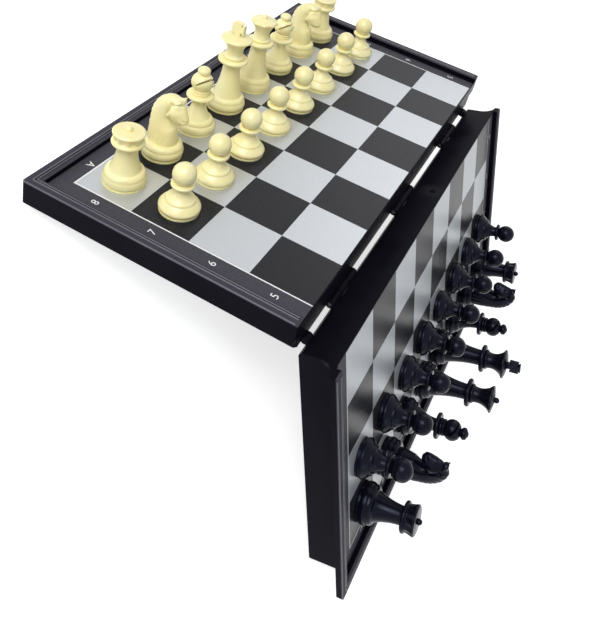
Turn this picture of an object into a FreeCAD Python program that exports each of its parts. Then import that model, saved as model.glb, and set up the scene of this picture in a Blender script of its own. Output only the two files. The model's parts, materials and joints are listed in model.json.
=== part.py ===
"""A folding magnetic chess set that stands as a ridge on the ends of its two trays.

Both halves are drawn flat in one board frame: Y is the hinge axis, X runs along the
files and Z is the normal of the playing surface. A placement then folds each half
about the hinge by half of the fold angle and lifts the hinge off the table.
"""
import FreeCAD, Part
import math
import os
import re
import Sketcher

Vector = FreeCAD.Vector

# Driving dimensions, in millimetres and degrees
BOARD_SIZES = {
    "fold_angle": 74.0,
    "square_size": 27.4,
    "side_border": 15.4,
    "end_border": 14.0,
    "hinge_margin": 0.7,
    "hinge_half_gap": 0.7,
    "surface_height": 16.4,
    "parting_clearance": 0.15,
    "rim_height": 3.0,
    "rim_rounding": 0.6,
    "rim_inner_rounding": 0.3,
    "side_rim_width": 5.2,
    "side_ledge_width": 1.5,
    "side_ledge_height": 0.4,
    "end_rim_width": 6.2,
    "end_step_width": 2.4,
    "end_step_depth": 0.4,
    "flange_drop": 0.2,
    "side_inset": 7.5,
    "end_inset": 6.0,
    "wall_thickness": 2.0,
    "deck_thickness": 2.0,
    "flange_corner": 1.2,
    "tray_corner": 2.5,
    "flange_brace": 3.0,
    "hinge_lip": 0.4,
    "hinge_bevel": 1.4,
    "gusset_height": 6.5,
    "skirt_drop": 8.0,
    "skirt_wall": 1.8,
    "plate_thickness": 0.5,
    "sheet_thickness": 0.5,
    "sheet_clearance": 0.15,
}

HINGE_SIZES = {
    "knuckle_radius": 1.9,
    "knuckle_length": 8.0,
    "knuckle_gap": 0.3,
    "knuckle_relief": 0.35,
    "knuckle_web_rise": 0.4,
    "hinge_inset": 41.7,
    "lug_length": 3.8,
    "lug_inset": 7.9,
    "pin_radius": 0.8,
    "pin_clearance": 0.05,
}

CATCH_SIZES = {
    "catch_radius": 3.0,
    "catch_thickness": 2.5,
    "catch_clearance": 0.05,
    "catch_inset": 57.5,
    "catch_boss_wall": 1.2,
    "catch_boss_roof": 1.5,
}

# Sizes that all the men share
MAN_SIZES = {
    "man_clearance": 0.05,
    "cap_height": 1.1,
    "cap_inset": 0.5,
    "foot_rounding": 0.7,
    "ring_step": 0.3,
    "collar_rounding": 0.6,
    "magnet_radius": 4.5,
    "magnet_thickness": 2.0,
    "magnet_clearance": 0.05,
}

PAWN_SIZES = {
    "pawn_height": 23.0,
    "pawn_foot": 9.0,
    "pawn_base": 5.4,
    "pawn_ring": 6.0,
    "pawn_shoulder": 6.7,
    "pawn_waist": 5.2,
    "pawn_neck": 2.9,
    "pawn_collar": 4.95,
    "pawn_collar_height": 12.2,
    "pawn_collar_thickness": 1.5,
    "pawn_ball": 4.95,
}

ROOK_SIZES = {
    "rook_height": 27.8,
    "rook_foot": 9.6,
    "rook_base": 4.7,
    "rook_ring": 8.8,
    "rook_shoulder": 7.2,
    "rook_waist": 6.9,
    "rook_neck": 4.5,
    "rook_collar": 6.8,
    "rook_collar_height": 19.4,
    "rook_collar_thickness": 1.8,
    "rook_crown_foot": 5.9,
    "rook_crown": 6.9,
    "rook_knob": 1.4,
    "rook_flute": 2.6,
    "rook_flute_depth": 0.7,
}

BISHOP_SIZES = {
    "bishop_height": 33.2,
    "bishop_foot": 9.4,
    "bishop_base": 4.9,
    "bishop_ring": 7.9,
    "bishop_shoulder": 7.2,
    "bishop_waist": 6.0,
    "bishop_neck": 3.1,
    "bishop_collar": 6.3,
    "bishop_collar_height": 17.3,
    "bishop_collar_thickness": 1.9,
    "bishop_bead": 4.2,
    "bishop_bead_height": 1.3,
    "bishop_head_foot": 3.4,
    "bishop_head_top": 2.1,
    "bishop_knob": 2.3,
    "bishop_slot": 0.9,
    "bishop_slot_depth": 3.2,
    "bishop_slot_inset": 0.6,
}

QUEEN_SIZES = {
    "queen_height": 41.6,
    "queen_foot": 9.85,
    "queen_base": 5.0,
    "queen_ring": 8.9,
    "queen_shoulder": 7.4,
    "queen_waist": 7.0,
    "queen_neck": 4.0,
    "queen_collar": 6.9,
    "queen_collar_height": 25.0,
    "queen_collar_thickness": 2.2,
    "queen_bead": 4.9,
    "queen_bead_height": 1.5,
    "queen_stem": 4.2,
    "queen_crown": 6.3,
    "queen_rim": 1.0,
    "queen_knob": 1.5,
    "queen_scallop": 1.9,
    "queen_scallop_depth": 0.6,
}

KING_SIZES = {
    "king_height": 46.4,
    "king_foot": 9.85,
    "king_base": 5.0,
    "king_ring": 8.9,
    "king_shoulder": 7.4,
    "king_waist": 7.0,
    "king_neck": 4.2,
    "king_collar": 7.1,
    "king_collar_height": 25.4,
    "king_collar_thickness": 2.2,
    "king_bead": 5.2,
    "king_bead_height": 1.6,
    "king_stem": 4.4,
    "king_crown": 7.6,
    "king_rim": 0.9,
    "king_dome": 1.3,
    "king_cross_height": 6.8,
    "king_cross_width": 6.8,
    "king_cross_bar": 2.6,
    "king_cross_flare": 5.0,
    "king_cross_thickness": 2.4,
    "king_cross_root": 0.5,
}

KNIGHT_SIZES = {
    "knight_height": 32.4,
    "knight_foot": 9.5,
    "knight_base": 4.8,
    "knight_ring": 8.7,
    "knight_shoulder": 7.4,
    "knight_waist": 7.2,
    "knight_root": 0.5,
    "knight_back": 7.2,
    "knight_chest": 6.2,
    "knight_throat": 2.8,
    "knight_throat_drop": 12.0,
    "knight_muzzle": 10.8,
    "knight_chin_drop": 13.8,
    "knight_lip": 4.6,
    "knight_brow": 8.2,
    "knight_poll": 2.4,
    "knight_ear": 2.0,
    "knight_ear_gap": 2.2,
    "knight_neck_thickness": 10.6,
    "knight_head_thickness": 5.4,
    "knight_rounding": 0.5,
    "knight_cheek": 3.0,
    "knight_cheek_reach": 4.4,
    "knight_cheek_drop": 8.8,
    "knight_cheek_thickness": 8.3,
}

SIZES = {}
for table in (BOARD_SIZES, HINGE_SIZES, CATCH_SIZES, MAN_SIZES, PAWN_SIZES, ROOK_SIZES,
              BISHOP_SIZES, QUEEN_SIZES, KING_SIZES, KNIGHT_SIZES):
    SIZES.update(table)

# Places that follow from the driving dimensions
DERIVED = {
    "slope": "fold_angle / 2",
    "wall_face": "hinge_half_gap",
    "field_start": "hinge_half_gap + hinge_margin",
    "reach": "field_start + 4 * square_size + end_border",
    "half_width": "4 * square_size + side_border",
    "rim_top": "surface_height + rim_height",
    "flange_floor": "surface_height - flange_drop",
    "recess_floor": "surface_height - sheet_thickness - plate_thickness",
    "deck_floor": "recess_floor - deck_thickness",
    "tray_end": "reach - end_inset",
    "tray_half_width": "half_width - side_inset",
    "recess_end": "reach - end_rim_width",
    "field_half_width": "half_width - side_rim_width",
    "recess_half_width": "field_half_width - side_ledge_width",
    "ridge_height": "tray_end * sin(slope) - parting_clearance * cos(slope)",
    "hinge_place": "tray_half_width - hinge_inset",
    "lug_place": "tray_half_width - lug_inset",
    "catch_side": "tray_half_width - catch_inset",
    "catch_place": "tray_end - wall_thickness - catch_radius - catch_clearance",
    "rook_crown_top": "rook_height - 1.5 * rook_knob - rook_flute_depth",
    "queen_crown_top": "queen_height - 1.5 * queen_knob - 2 * queen_rim",
    "king_crown_top": "king_height - king_cross_height - king_dome - king_rim",
    "knight_throat_height": "knight_height - knight_throat_drop",
    "knight_chin": "knight_height - knight_chin_drop",
    "knight_cheek_height": "knight_height - knight_cheek_drop",
}

UPPER, LOWER = -1, 1
TOUCHING = 1e-6
FILES = "abcdefgh"
DOME = "dome"

doc = FreeCAD.newDocument("folding_chess_set")
sheet = doc.addObject("Spreadsheet::Sheet", "sizes")
for row, (alias, value) in enumerate(SIZES.items(), 1):
    sheet.set(f"A{row}", alias)
    sheet.set(f"B{row}", str(value))
    sheet.setAlias(f"B{row}", alias)
doc.recompute()


def bind(text):
    """Turn a size written in plain words into an expression on the sheet's cells."""
    def cell(match):
        word = match.group(0)
        if word in DERIVED:
            return f"({bind(DERIVED[word])})"
        return f"sizes.{word}" if word in SIZES else word
    return re.sub(r"[a-z_]+", cell, text)


def size(text):
    return float(sheet.evalExpression(bind(text)))


def new_body(name):
    return doc.addObject("PartDesign::Body", name)


def add_sketch(body, name, role="XY_Plane", offset="0"):
    """Attach a sketch to one of the body's own origin planes, moved along its normal."""
    sketch = body.newObject("Sketcher::SketchObject", name)
    plane = next(item for item in body.Origin.OriginFeatures if item.Role == role)
    sketch.AttachmentSupport = [(plane, "")]
    sketch.MapMode = "FlatFace"
    sketch.setExpression("AttachmentOffset.Base.z", bind(offset))
    return sketch


def set_distance(sketch, kind, element, point, text):
    """Hold one coordinate of a sketch point at a size."""
    value = size(text)
    if abs(value) < TOUCHING:
        axis = -2 if kind == "DistanceX" else -1
        sketch.addConstraint(Sketcher.Constraint("PointOnObject", element, point, axis))
        return
    index = sketch.addConstraint(Sketcher.Constraint(kind, -1, 1, element, point, value))
    sketch.setExpression(f"Constraints[{index}]", bind(text))


def bulged_arc(start, stop, bulge):
    """An arc between two points that swells to the right of the way along by its bulge."""
    way = stop - start
    radius = way.Length * (1 + bulge ** 2) / (4 * abs(bulge))
    inward = (1 - bulge ** 2) / (4 * bulge)
    centre = (start + stop) / 2 - Vector(way.y, -way.x, 0) * inward
    first, last = (start, stop) if bulge > 0 else (stop, start)
    angles = [math.atan2(point.y - centre.y, point.x - centre.x) for point in (first, last)]
    return Part.ArcOfCircle(Part.Circle(centre, Vector(0, 0, 1), radius), *angles)


def draw_outline(sketch, stations):
    """Draw a closed outline from (x, y, bulge) stations.

    A station's bulge shapes the side that leaves it: 0 is straight, a positive bulge
    swells to the right of the way along, 1 is a half circle, and DOME is an arc that
    ends on the vertical axis and has its centre there.
    """
    points = [Vector(size(x), size(y), 0) for x, y, bulge in stations]
    first = sketch.GeometryCount
    ends = []
    for index, (x, y, bulge) in enumerate(stations):
        start, stop = points[index], points[(index + 1) % len(points)]
        if not bulge:
            sketch.addGeometry(Part.LineSegment(start, stop))
            ends.append((1, 2))
            continue
        swell = math.tan(math.atan2(stop.y - start.y, start.x) / 2) if bulge == DOME else bulge
        sketch.addGeometry(bulged_arc(start, stop, swell))
        ends.append((1, 2) if swell > 0 else (2, 1))
    for index, (x, y, bulge) in enumerate(stations):
        following = (index + 1) % len(stations)
        sketch.addConstraint(Sketcher.Constraint(
            "Coincident", first + index, ends[index][1], first + following, ends[following][0]))
        set_distance(sketch, "DistanceX", first + index, ends[index][0], x)
        set_distance(sketch, "DistanceY", first + index, ends[index][0], y)
        if bulge == DOME:
            sketch.addConstraint(Sketcher.Constraint("PointOnObject", first + index, 3, -2))
        elif bulge:
            next_x, next_y = stations[following][:2]
            chord = f"sqrt((({next_x}) - ({x}))^2 + (({next_y}) - ({y}))^2)"
            share = (1 + bulge ** 2) / (4 * abs(bulge))
            radius = f"{chord} * {share!r}"
            number = sketch.addConstraint(Sketcher.Constraint("Radius", first + index, size(radius)))
            sketch.setExpression(f"Constraints[{number}]", bind(radius))


def draw_rectangle(sketch, low_x, high_x, low_y, high_y):
    draw_outline(sketch, [(low_x, low_y, 0), (high_x, low_y, 0), (high_x, high_y, 0), (low_x, high_y, 0)])


def draw_circle(sketch, x, y, radius):
    circle = Part.Circle(Vector(size(x), size(y), 0), Vector(0, 0, 1), size(radius))
    element = sketch.addGeometry(circle)
    set_distance(sketch, "DistanceX", element, 3, x)
    set_distance(sketch, "DistanceY", element, 3, y)
    number = sketch.addConstraint(Sketcher.Constraint("Radius", element, size(radius)))
    sketch.setExpression(f"Constraints[{number}]", bind(radius))


def volume_of(body):
    return body.Shape.Volume if body.Tip and not body.Shape.isNull() else 0.0


def finish_feature(body, feature, adds):
    """Recompute a feature and make sure that it added or removed material."""
    before = volume_of(body)
    body.Tip = feature
    doc.recompute()
    change = volume_of(body) - before
    if (change <= 0) if adds else (change >= 0):
        raise RuntimeError(f"{feature.Label} changed the volume by {change:.3f}")
    return feature


def pad(body, sketch, name, length, centred=False):
    feature = body.newObject("PartDesign::Pad", name)
    feature.Profile = sketch
    feature.setExpression("Length", bind(length))
    feature.Midplane = centred
    return finish_feature(body, feature, True)


def pocket(body, sketch, name, length, upward=False, centred=False):
    feature = body.newObject("PartDesign::Pocket", name)
    feature.Profile = sketch
    feature.setExpression("Length", bind(length))
    feature.Reversed = upward
    feature.Midplane = centred
    return finish_feature(body, feature, False)


def turn(body, sketch, name, cuts=False):
    """Turn a sketch once round its own vertical axis, as new material or as a groove."""
    feature = body.newObject("PartDesign::Groove" if cuts else "PartDesign::Revolution", name)
    feature.Profile = sketch
    feature.ReferenceAxis = (sketch, ["V_Axis"])
    feature.Angle = 360
    return finish_feature(body, feature, not cuts)


def repeat_round(body, feature, name, count):
    """Repeat a feature evenly round the body's Z axis."""
    pattern = body.newObject("PartDesign::PolarPattern", name)
    pattern.Originals = [feature]
    axis = next(item for item in body.Origin.OriginFeatures if item.Role == "Z_Axis")
    pattern.Axis = (axis, [""])
    pattern.Angle = 360
    pattern.Occurrences = count
    return finish_feature(body, pattern, False)


def dress_edges(body, kind, name, length, wanted):
    """Fillet or chamfer the edges of a body for which wanted(edge) is true."""
    edges = [f"Edge{number}" for number, edge in enumerate(body.Shape.Edges, 1) if wanted(edge)]
    if not edges:
        raise RuntimeError(f"{name} found no edge")
    base = body.Tip
    feature = body.newObject(f"PartDesign::{kind}", name)
    feature.Base = (base, edges)
    feature.setExpression("Radius" if kind == "Fillet" else "Size", bind(length))
    body.Tip = feature
    doc.recompute()


def is_upright(edge):
    box = edge.BoundBox
    return box.XLength < TOUCHING and box.YLength < TOUCHING and box.ZLength > 1e-3


def fold_about_hinge(item, half):
    """Place a flat-drawn piece where its half stands in the folded board."""
    item.Placement = FreeCAD.Placement(Vector(), FreeCAD.Rotation(Vector(0, half, 0), size("slope")))
    item.setExpression(".Placement.Base.z", bind("ridge_height"))
    item.setExpression(".Placement.Rotation.Angle", bind("slope"))


def along(half, text):
    """A distance from the hinge axis towards the end of one half."""
    return text if half == LOWER else f"-({text})"


def half_rectangle(sketch, half, near, far, half_span):
    """Draw a rectangle between two distances from the hinge, centred across the files."""
    low_x, high_x = (near, far) if half == LOWER else (f"-({far})", f"-({near})")
    draw_rectangle(sketch, low_x, high_x, f"-({half_span})", half_span)


# Where each half has its hinge knuckles: (start, stop) expressions along the hinge
HINGE_PLACES = ("-hinge_place", "0", "hinge_place")
MIDDLE_KNUCKLES = []
SIDE_KNUCKLES = []
for place in HINGE_PLACES:
    inner, outer = "(knuckle_length / 2 + knuckle_gap)", "(1.5 * knuckle_length + knuckle_gap)"
    MIDDLE_KNUCKLES.append((f"{place} - knuckle_length / 2", f"{place} + knuckle_length / 2"))
    SIDE_KNUCKLES.append((f"{place} - {outer}", f"{place} - {inner}"))
    SIDE_KNUCKLES.append((f"{place} + {inner}", f"{place} + {outer}"))
END_LUGS = []
for place in ("-lug_place", "lug_place"):
    END_LUGS.append((f"{place} - lug_length / 2", f"{place} + lug_length / 2"))
KNUCKLES = {UPPER: MIDDLE_KNUCKLES, LOWER: SIDE_KNUCKLES + END_LUGS}


def hinge_bands(body, name, radius, bands, room="0"):
    """Sketch one rectangle from the hinge axis to a radius for each stretch of the hinge."""
    sketch = add_sketch(body, name)
    for start, stop in bands:
        draw_rectangle(sketch, "0", radius, f"{start} - ({room})", f"{stop} + ({room})")
    return sketch


def add_hinge(body, half):
    """Bevel the hinge wall's foot, clear it for the other half's knuckles and add its own."""
    foot, face = size("parting_clearance"), half * size("wall_face")

    def hinge_foot(edge):
        box = edge.BoundBox
        return box.YLength > 1 and box.XLength + box.ZLength < TOUCHING and \
            abs(box.XMin - face) < TOUCHING and abs(box.ZMin - foot) < TOUCHING

    dress_edges(body, "Chamfer", "hinge_bevel", "hinge_bevel", hinge_foot)
    room = "knuckle_radius + knuckle_relief"
    relief = hinge_bands(body, "relief_bands", room, KNUCKLES[-half], "knuckle_gap")
    turn(body, relief, "knuckle_relief", cuts=True)
    webs = add_sketch(body, "web_bands", offset="parting_clearance + knuckle_web_rise")
    for start, stop in KNUCKLES[half]:
        edges = sorted(("0", along(half, "wall_face + wall_thickness")), key=size)
        draw_rectangle(webs, *edges, start, stop)
    pad(body, webs, "knuckle_webs", "knuckle_radius - parting_clearance - knuckle_web_rise")
    turn(body, hinge_bands(body, "knuckle_bands", "knuckle_radius", KNUCKLES[half]), "knuckles")
    pinned = [band for band in KNUCKLES[half] if band not in END_LUGS]
    bore = hinge_bands(body, "bore_bands", "pin_radius + pin_clearance", pinned, "knuckle_gap / 2")
    turn(body, bore, "pin_bores", cuts=True)


def add_catch_seats(body, half):
    """Add two bosses inside the end wall, each with a seat for a catch magnet."""
    bosses = add_sketch(body, "catch_boss_outline", offset="parting_clearance")
    seats = add_sketch(body, "catch_seat_outline", offset="parting_clearance")
    for place in ("-catch_side", "catch_side"):
        centre = along(half, "catch_place")
        draw_circle(bosses, centre, place, "catch_radius + catch_clearance + catch_boss_wall")
        draw_circle(seats, centre, place, "catch_radius + catch_clearance")
    pad(body, bosses, "catch_bosses", "catch_thickness + catch_boss_roof")
    pocket(body, seats, "catch_seats", "catch_thickness", upward=True)


GUSSET_BULGE = 0.36


def add_gussets(body):
    """Brace the flange's hinge ends with a hollow-curved web on each side of the tray."""
    for side, sign in (("near", "-"), ("far", "")):
        sketch = add_sketch(body, f"{side}_gusset_outline", "YZ_Plane", "wall_face")
        bulge = -GUSSET_BULGE if sign else GUSSET_BULGE
        draw_outline(sketch, [
            (f"{sign}(tray_half_width - wall_thickness / 2)", "flange_floor", 0),
            (f"{sign}(half_width)", "flange_floor", bulge),
            (f"{sign}(tray_half_width)", "flange_floor - gusset_height", 0),
            (f"{sign}(tray_half_width - wall_thickness / 2)", "flange_floor - gusset_height", 0)])
        pad(body, sketch, f"{side}_gusset", "wall_thickness")


def brace_flange(body):
    """Fill the corner under the flange all round the tray, where the deck's edge is thin."""
    floor, end, side = size("flange_floor"), size("tray_end"), size("tray_half_width")

    def under_flange(edge):
        box = edge.BoundBox
        flat = box.ZLength < TOUCHING and abs(box.ZMin - floor) < TOUCHING
        outward = max(abs(box.XMin), abs(box.XMax))
        inside = outward < end + TOUCHING and max(abs(box.YMin), abs(box.YMax)) < side + TOUCHING
        return flat and inside and (box.XLength > TOUCHING or abs(outward - end) < TOUCHING)

    dress_edges(body, "Chamfer", "flange_brace", "flange_brace", under_flange)


def add_skirt(body, half):
    """Hang a wall from the flange's outer edge, closed by the hinge wall."""
    sketch = add_sketch(body, "skirt_outline", offset="surface_height - skirt_drop")
    half_rectangle(sketch, half, "wall_face", "reach", "half_width")
    inner_face = "wall_face + wall_thickness"
    half_rectangle(sketch, half, inner_face, "reach - skirt_wall", "half_width - skirt_wall")
    pad(body, sketch, "skirt", "skirt_drop - flange_drop")


def round_rim(body):
    """Round the rim's top: its outer edge all round, and the inner edges of its sides."""
    top, reach, side = size("rim_top"), size("reach"), size("half_width")
    inner_side = size("field_half_width")

    def on_top(edge):
        return edge.BoundBox.ZLength < TOUCHING and abs(edge.BoundBox.ZMin - top) < TOUCHING

    def outer(edge):
        box = edge.BoundBox
        at_side = box.YLength < TOUCHING and abs(abs(box.YMin) - side) < TOUCHING
        at_end = box.XLength < TOUCHING and abs(abs(box.XMin) - reach) < TOUCHING
        return on_top(edge) and (at_side or at_end)

    def inner(edge):
        box = edge.BoundBox
        return on_top(edge) and box.YLength < TOUCHING and abs(abs(box.YMin) - inner_side) < TOUCHING

    dress_edges(body, "Fillet", "rim_edge", "rim_rounding", outer)
    dress_edges(body, "Fillet", "rim_inner_edge", "rim_inner_rounding", inner)


def case_shell(half, label):
    """Mould one half of the case: tray, flange with a raised rim on three sides, and hinge."""
    body = new_body(label)
    tray = add_sketch(body, "tray_outline", offset="parting_clearance")
    half_rectangle(tray, half, "wall_face", "tray_end", "tray_half_width")
    pad(body, tray, "tray_block", "flange_floor - parting_clearance")
    far_side = abs(size("tray_end"))
    dress_edges(body, "Fillet", "tray_corners", "tray_corner",
                lambda edge: is_upright(edge) and abs(abs(edge.BoundBox.XMin) - far_side) < TOUCHING)
    flange = add_sketch(body, "flange_outline", offset="flange_floor")
    half_rectangle(flange, half, "wall_face", "reach", "half_width")
    pad(body, flange, "flange", "rim_top - flange_floor")
    brace_flange(body)
    if half == UPPER:
        add_skirt(body, half)
    else:
        add_gussets(body)
    far_side = abs(size("reach"))
    dress_edges(body, "Fillet", "flange_corners", "flange_corner",
                lambda edge: is_upright(edge) and abs(abs(edge.BoundBox.XMin) - far_side) < TOUCHING)
    ledges = add_sketch(body, "ledge_outline", offset="rim_top")
    half_rectangle(ledges, half, "0", "recess_end", "field_half_width")
    pocket(body, ledges, "ledge_pocket", "rim_height - side_ledge_height")
    field = add_sketch(body, "field_outline", offset="surface_height + side_ledge_height")
    half_rectangle(field, half, "0", "recess_end", "recess_half_width")
    pocket(body, field, "field_pocket", "side_ledge_height")
    recess = add_sketch(body, "recess_outline", offset="surface_height")
    half_rectangle(recess, half, "wall_face + hinge_lip", "recess_end", "recess_half_width")
    pocket(body, recess, "plate_recess", "surface_height - recess_floor")
    step = add_sketch(body, "end_step_outline", offset="rim_top")
    half_rectangle(step, half, "recess_end - end_step_width", "reach - end_step_width", "field_half_width")
    pocket(body, step, "end_step", "end_step_depth")
    round_rim(body)
    hollow = add_sketch(body, "hollow_outline", offset="parting_clearance")
    half_rectangle(hollow, half, "wall_face + wall_thickness", "tray_end - wall_thickness",
                   "tray_half_width - wall_thickness")
    pocket(body, hollow, "tray_hollow", "deck_floor - parting_clearance", upward=True)
    add_catch_seats(body, half)
    add_hinge(body, half)
    fold_about_hinge(body, half)
    return body


def flat_layer(half, label, floor, thickness):
    """Cut one thin layer that fills the recess of the deck."""
    body = new_body(label)
    outline = add_sketch(body, f"{label}_outline", offset=floor)
    half_rectangle(outline, half, "wall_face + hinge_lip + sheet_clearance", "recess_end - sheet_clearance",
                   "recess_half_width - sheet_clearance")
    pad(body, outline, f"{label}_layer", thickness)
    fold_about_hinge(body, half)
    return body


def cylinder(name, radius, length):
    item = doc.addObject("Part::Cylinder", name)
    item.setExpression("Radius", bind(radius))
    item.setExpression("Height", bind(length))
    return item


def move_to(item, x, y, z):
    for axis, text in zip("xyz", (x, y, z)):
        item.setExpression(f".Placement.Base.{axis}", bind(text))


def group(label, items):
    item = doc.addObject("Part::Compound", label)
    item.Links = items
    return item


def hinge_pins():
    """Three steel pins, each through one middle knuckle and its two neighbours."""
    pins = []
    for number, place in enumerate(HINGE_PLACES, 1):
        pin = cylinder(f"hinge_pin_{number}", "pin_radius", "3 * knuckle_length + 2 * knuckle_gap")
        pin.Placement = FreeCAD.Placement(Vector(), FreeCAD.Rotation(Vector(1, 0, 0), -90))
        move_to(pin, "0", f"{place} - 1.5 * knuckle_length - knuckle_gap", "ridge_height")
        pins.append(pin)
    return group("hinge_pins", pins)


def catch_magnets(half, label):
    """Two disc magnets that hold the closed case shut."""
    discs = []
    for number, place in enumerate(("-catch_side", "catch_side"), 1):
        disc = cylinder(f"{label}_{number}", "catch_radius", "catch_thickness")
        move_to(disc, along(half, "catch_place"), place, "parting_clearance")
        discs.append(disc)
    magnets = group(label, discs)
    fold_about_hinge(magnets, half)
    return magnets


# Bulges of the turned profiles
FOOT_BULGE, RING_BULGE, BEAD_BULGE = 0.5, 0.35, 0.8
STEM_BULGE = {"pawn": -0.26, "rook": -0.1, "bishop": -0.16, "queen": -0.08, "king": -0.08}
MUZZLE_BULGE = 0.4
CROWN_BULGE = {"rook": -0.06, "queen": -0.3, "king": -0.36}
MITRE_BULGE, RIM_BULGE = 0.62, 0.4
ROOK_FLUTES, QUEEN_SCALLOPS = 10, 9

# How far each side's men are turned on their squares, and a white bishop beyond that, in degrees
TURNS = {"white": 0, "black": 180}
WHITE_BISHOP_TURN = -60


def foot_stations(kind):
    """The rounded foot and the ring above it, which every man has."""
    return [("0", "cap_height", 0),
            (f"{kind}_foot - foot_rounding", "cap_height", FOOT_BULGE),
            (f"{kind}_ring + ring_step", f"{kind}_base", 0),
            (f"{kind}_ring", f"{kind}_base", RING_BULGE)]


def stem_stations(kind):
    """The hollow-curved stem and the collar disc on it."""
    edge = f"{kind}_collar - collar_rounding"
    return [(f"{kind}_waist", f"{kind}_shoulder", STEM_BULGE[kind]),
            (f"{kind}_neck", f"{kind}_collar_height", 0),
            (edge, f"{kind}_collar_height", BEAD_BULGE),
            (edge, f"{kind}_collar_height + {kind}_collar_thickness", 0)]


def knob_stations(kind):
    """The small ball on top, from just below its widest part."""
    return [(f"sqrt(3) / 2 * {kind}_knob", f"{kind}_height - 1.5 * {kind}_knob", DOME),
            ("0", f"{kind}_height", 0)]


def bead_stations(kind, first_height, count):
    """Thin beads stacked on the collar."""
    edge = f"{kind}_bead - 0.4 * {kind}_bead_height"
    heights = [f"{first_height} + {number} * {kind}_bead_height" for number in range(count + 1)]
    stations = [(edge, height, BEAD_BULGE) for height in heights[:-1]]
    return stations + [(edge, heights[-1], 0)]


def head_stations(kind):
    collar_top = f"{kind}_collar_height + {kind}_collar_thickness"
    if kind == "pawn":
        return [("pawn_ball / 2", "pawn_height - (1 + sqrt(3) / 2) * pawn_ball", DOME),
                ("0", "pawn_height", 0)]
    if kind == "rook":
        crown = [("rook_crown_foot", collar_top, CROWN_BULGE[kind]),
                 ("rook_crown", "rook_crown_top", 0),
                 ("rook_crown - rook_flute_depth", "rook_crown_top + rook_flute_depth", 0)]
        return crown + knob_stations(kind)
    if kind == "bishop":
        beads_top = f"{collar_top} + 2 * bishop_bead_height"
        return bead_stations(kind, collar_top, 2) + [
            ("bishop_head_foot", beads_top, MITRE_BULGE),
            ("bishop_head_top", "bishop_height - 1.7 * bishop_knob", 0),
            ("0.8 * bishop_knob", "bishop_height - 1.6 * bishop_knob", BEAD_BULGE),
            ("0.75 * bishop_knob", "bishop_height - 0.3 * bishop_knob", DOME),
            ("0", "bishop_height", 0)]
    lid = 0 if kind == "queen" else DOME
    flare = [(f"{kind}_stem", f"{collar_top} + {kind}_bead_height", CROWN_BULGE[kind]),
             (f"{kind}_crown", f"{kind}_crown_top", RIM_BULGE),
             (f"{kind}_crown - 0.5 * {kind}_rim", f"{kind}_crown_top + {kind}_rim", lid)]
    top = knob_stations(kind) if kind == "queen" else [("0", "king_crown_top + king_rim + king_dome", 0)]
    return bead_stations(kind, collar_top, 1) + flare + top


def flute_rook(body):
    """Shallow flutes round the rook's crown."""
    sketch = add_sketch(body, "flute_outline", offset="rook_height")
    draw_circle(sketch, "rook_crown + rook_flute - rook_flute_depth", "0", "rook_flute")
    cut = pocket(body, sketch, "flute", "rook_height - rook_collar_height - rook_collar_thickness")
    repeat_round(body, cut, "flutes", ROOK_FLUTES)


def scallop_queen(body):
    """Scallops round the queen's coronet."""
    sketch = add_sketch(body, "scallop_outline", offset="queen_height")
    draw_circle(sketch, "queen_crown + queen_scallop - queen_scallop_depth", "0", "queen_scallop")
    cut = pocket(body, sketch, "scallop", "queen_height - queen_crown_top + queen_scallop")
    repeat_round(body, cut, "scallops", QUEEN_SCALLOPS)


def slot_bishop(body):
    """The slanting cut in the bishop's mitre."""
    sketch = add_sketch(body, "slot_outline", "XZ_Plane")
    tip = "bishop_height - 2.6 * bishop_knob"
    draw_outline(sketch, [
        ("bishop_slot_inset", f"{tip} - bishop_slot_depth", 0),
        ("bishop_slot_inset + 2 * bishop_slot_depth", f"{tip} + bishop_slot_depth", 0),
        ("bishop_slot_inset + 2 * bishop_slot_depth", f"{tip} + bishop_slot_depth + 1.4 * bishop_slot", 0),
        ("bishop_slot_inset", f"{tip} - bishop_slot_depth + 1.4 * bishop_slot", 0)])
    pocket(body, sketch, "slot", "4 * bishop_foot", centred=True)


def cross_king(body):
    """The flared cross on the king's crown."""
    sketch = add_sketch(body, "cross_outline", "XZ_Plane")
    foot = "king_height - king_cross_height - king_cross_root"
    middle = "king_height - king_cross_width / 2"
    bar, arm, flare = "king_cross_bar / 2", "king_cross_width / 2", "king_cross_flare / 2"
    right = [(f"1.4 * {bar}", foot, 0),
             (bar, f"{middle} - {bar}", 0),
             (arm, f"{middle} - {flare}", 0),
             (arm, f"{middle} + {flare}", 0),
             (bar, f"{middle} + {bar}", 0),
             (flare, "king_height", 0)]
    left = [(f"-({x})", z, 0) for x, z, bulge in reversed(right)]
    draw_outline(sketch, right + left)
    pad(body, sketch, "cross", "king_cross_thickness", centred=True)


def horse_outline(body):
    """Pad the side view of the horse: a straight chest, a hanging head, an ear and an arched crest."""
    sketch = add_sketch(body, "horse_outline", "XZ_Plane")
    root = "knight_shoulder - knight_root"
    draw_outline(sketch, [
        ("-0.97 * knight_back", root, 0),
        ("knight_chest", root, 0.06),
        ("0.82 * knight_chest", "(knight_shoulder + knight_throat_height) / 2", -0.12),
        ("knight_throat", "knight_throat_height", 0.15),
        ("0.52 * knight_muzzle", "knight_chin", 0.1),
        ("0.8 * knight_muzzle", "knight_chin", MUZZLE_BULGE),
        ("0.96 * knight_muzzle", "knight_chin + knight_lip", -0.06),
        ("knight_brow", "knight_height - 1.4 * knight_ear", 0),
        ("1.02 * knight_brow", "knight_height", 0.12),
        ("knight_poll", "knight_height - 0.6 * knight_ear", 0.38),
        ("-knight_back", "0.6 * knight_height", 0.04)])
    pad(body, sketch, "horse_blank", "knight_neck_thickness", centred=True)


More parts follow.
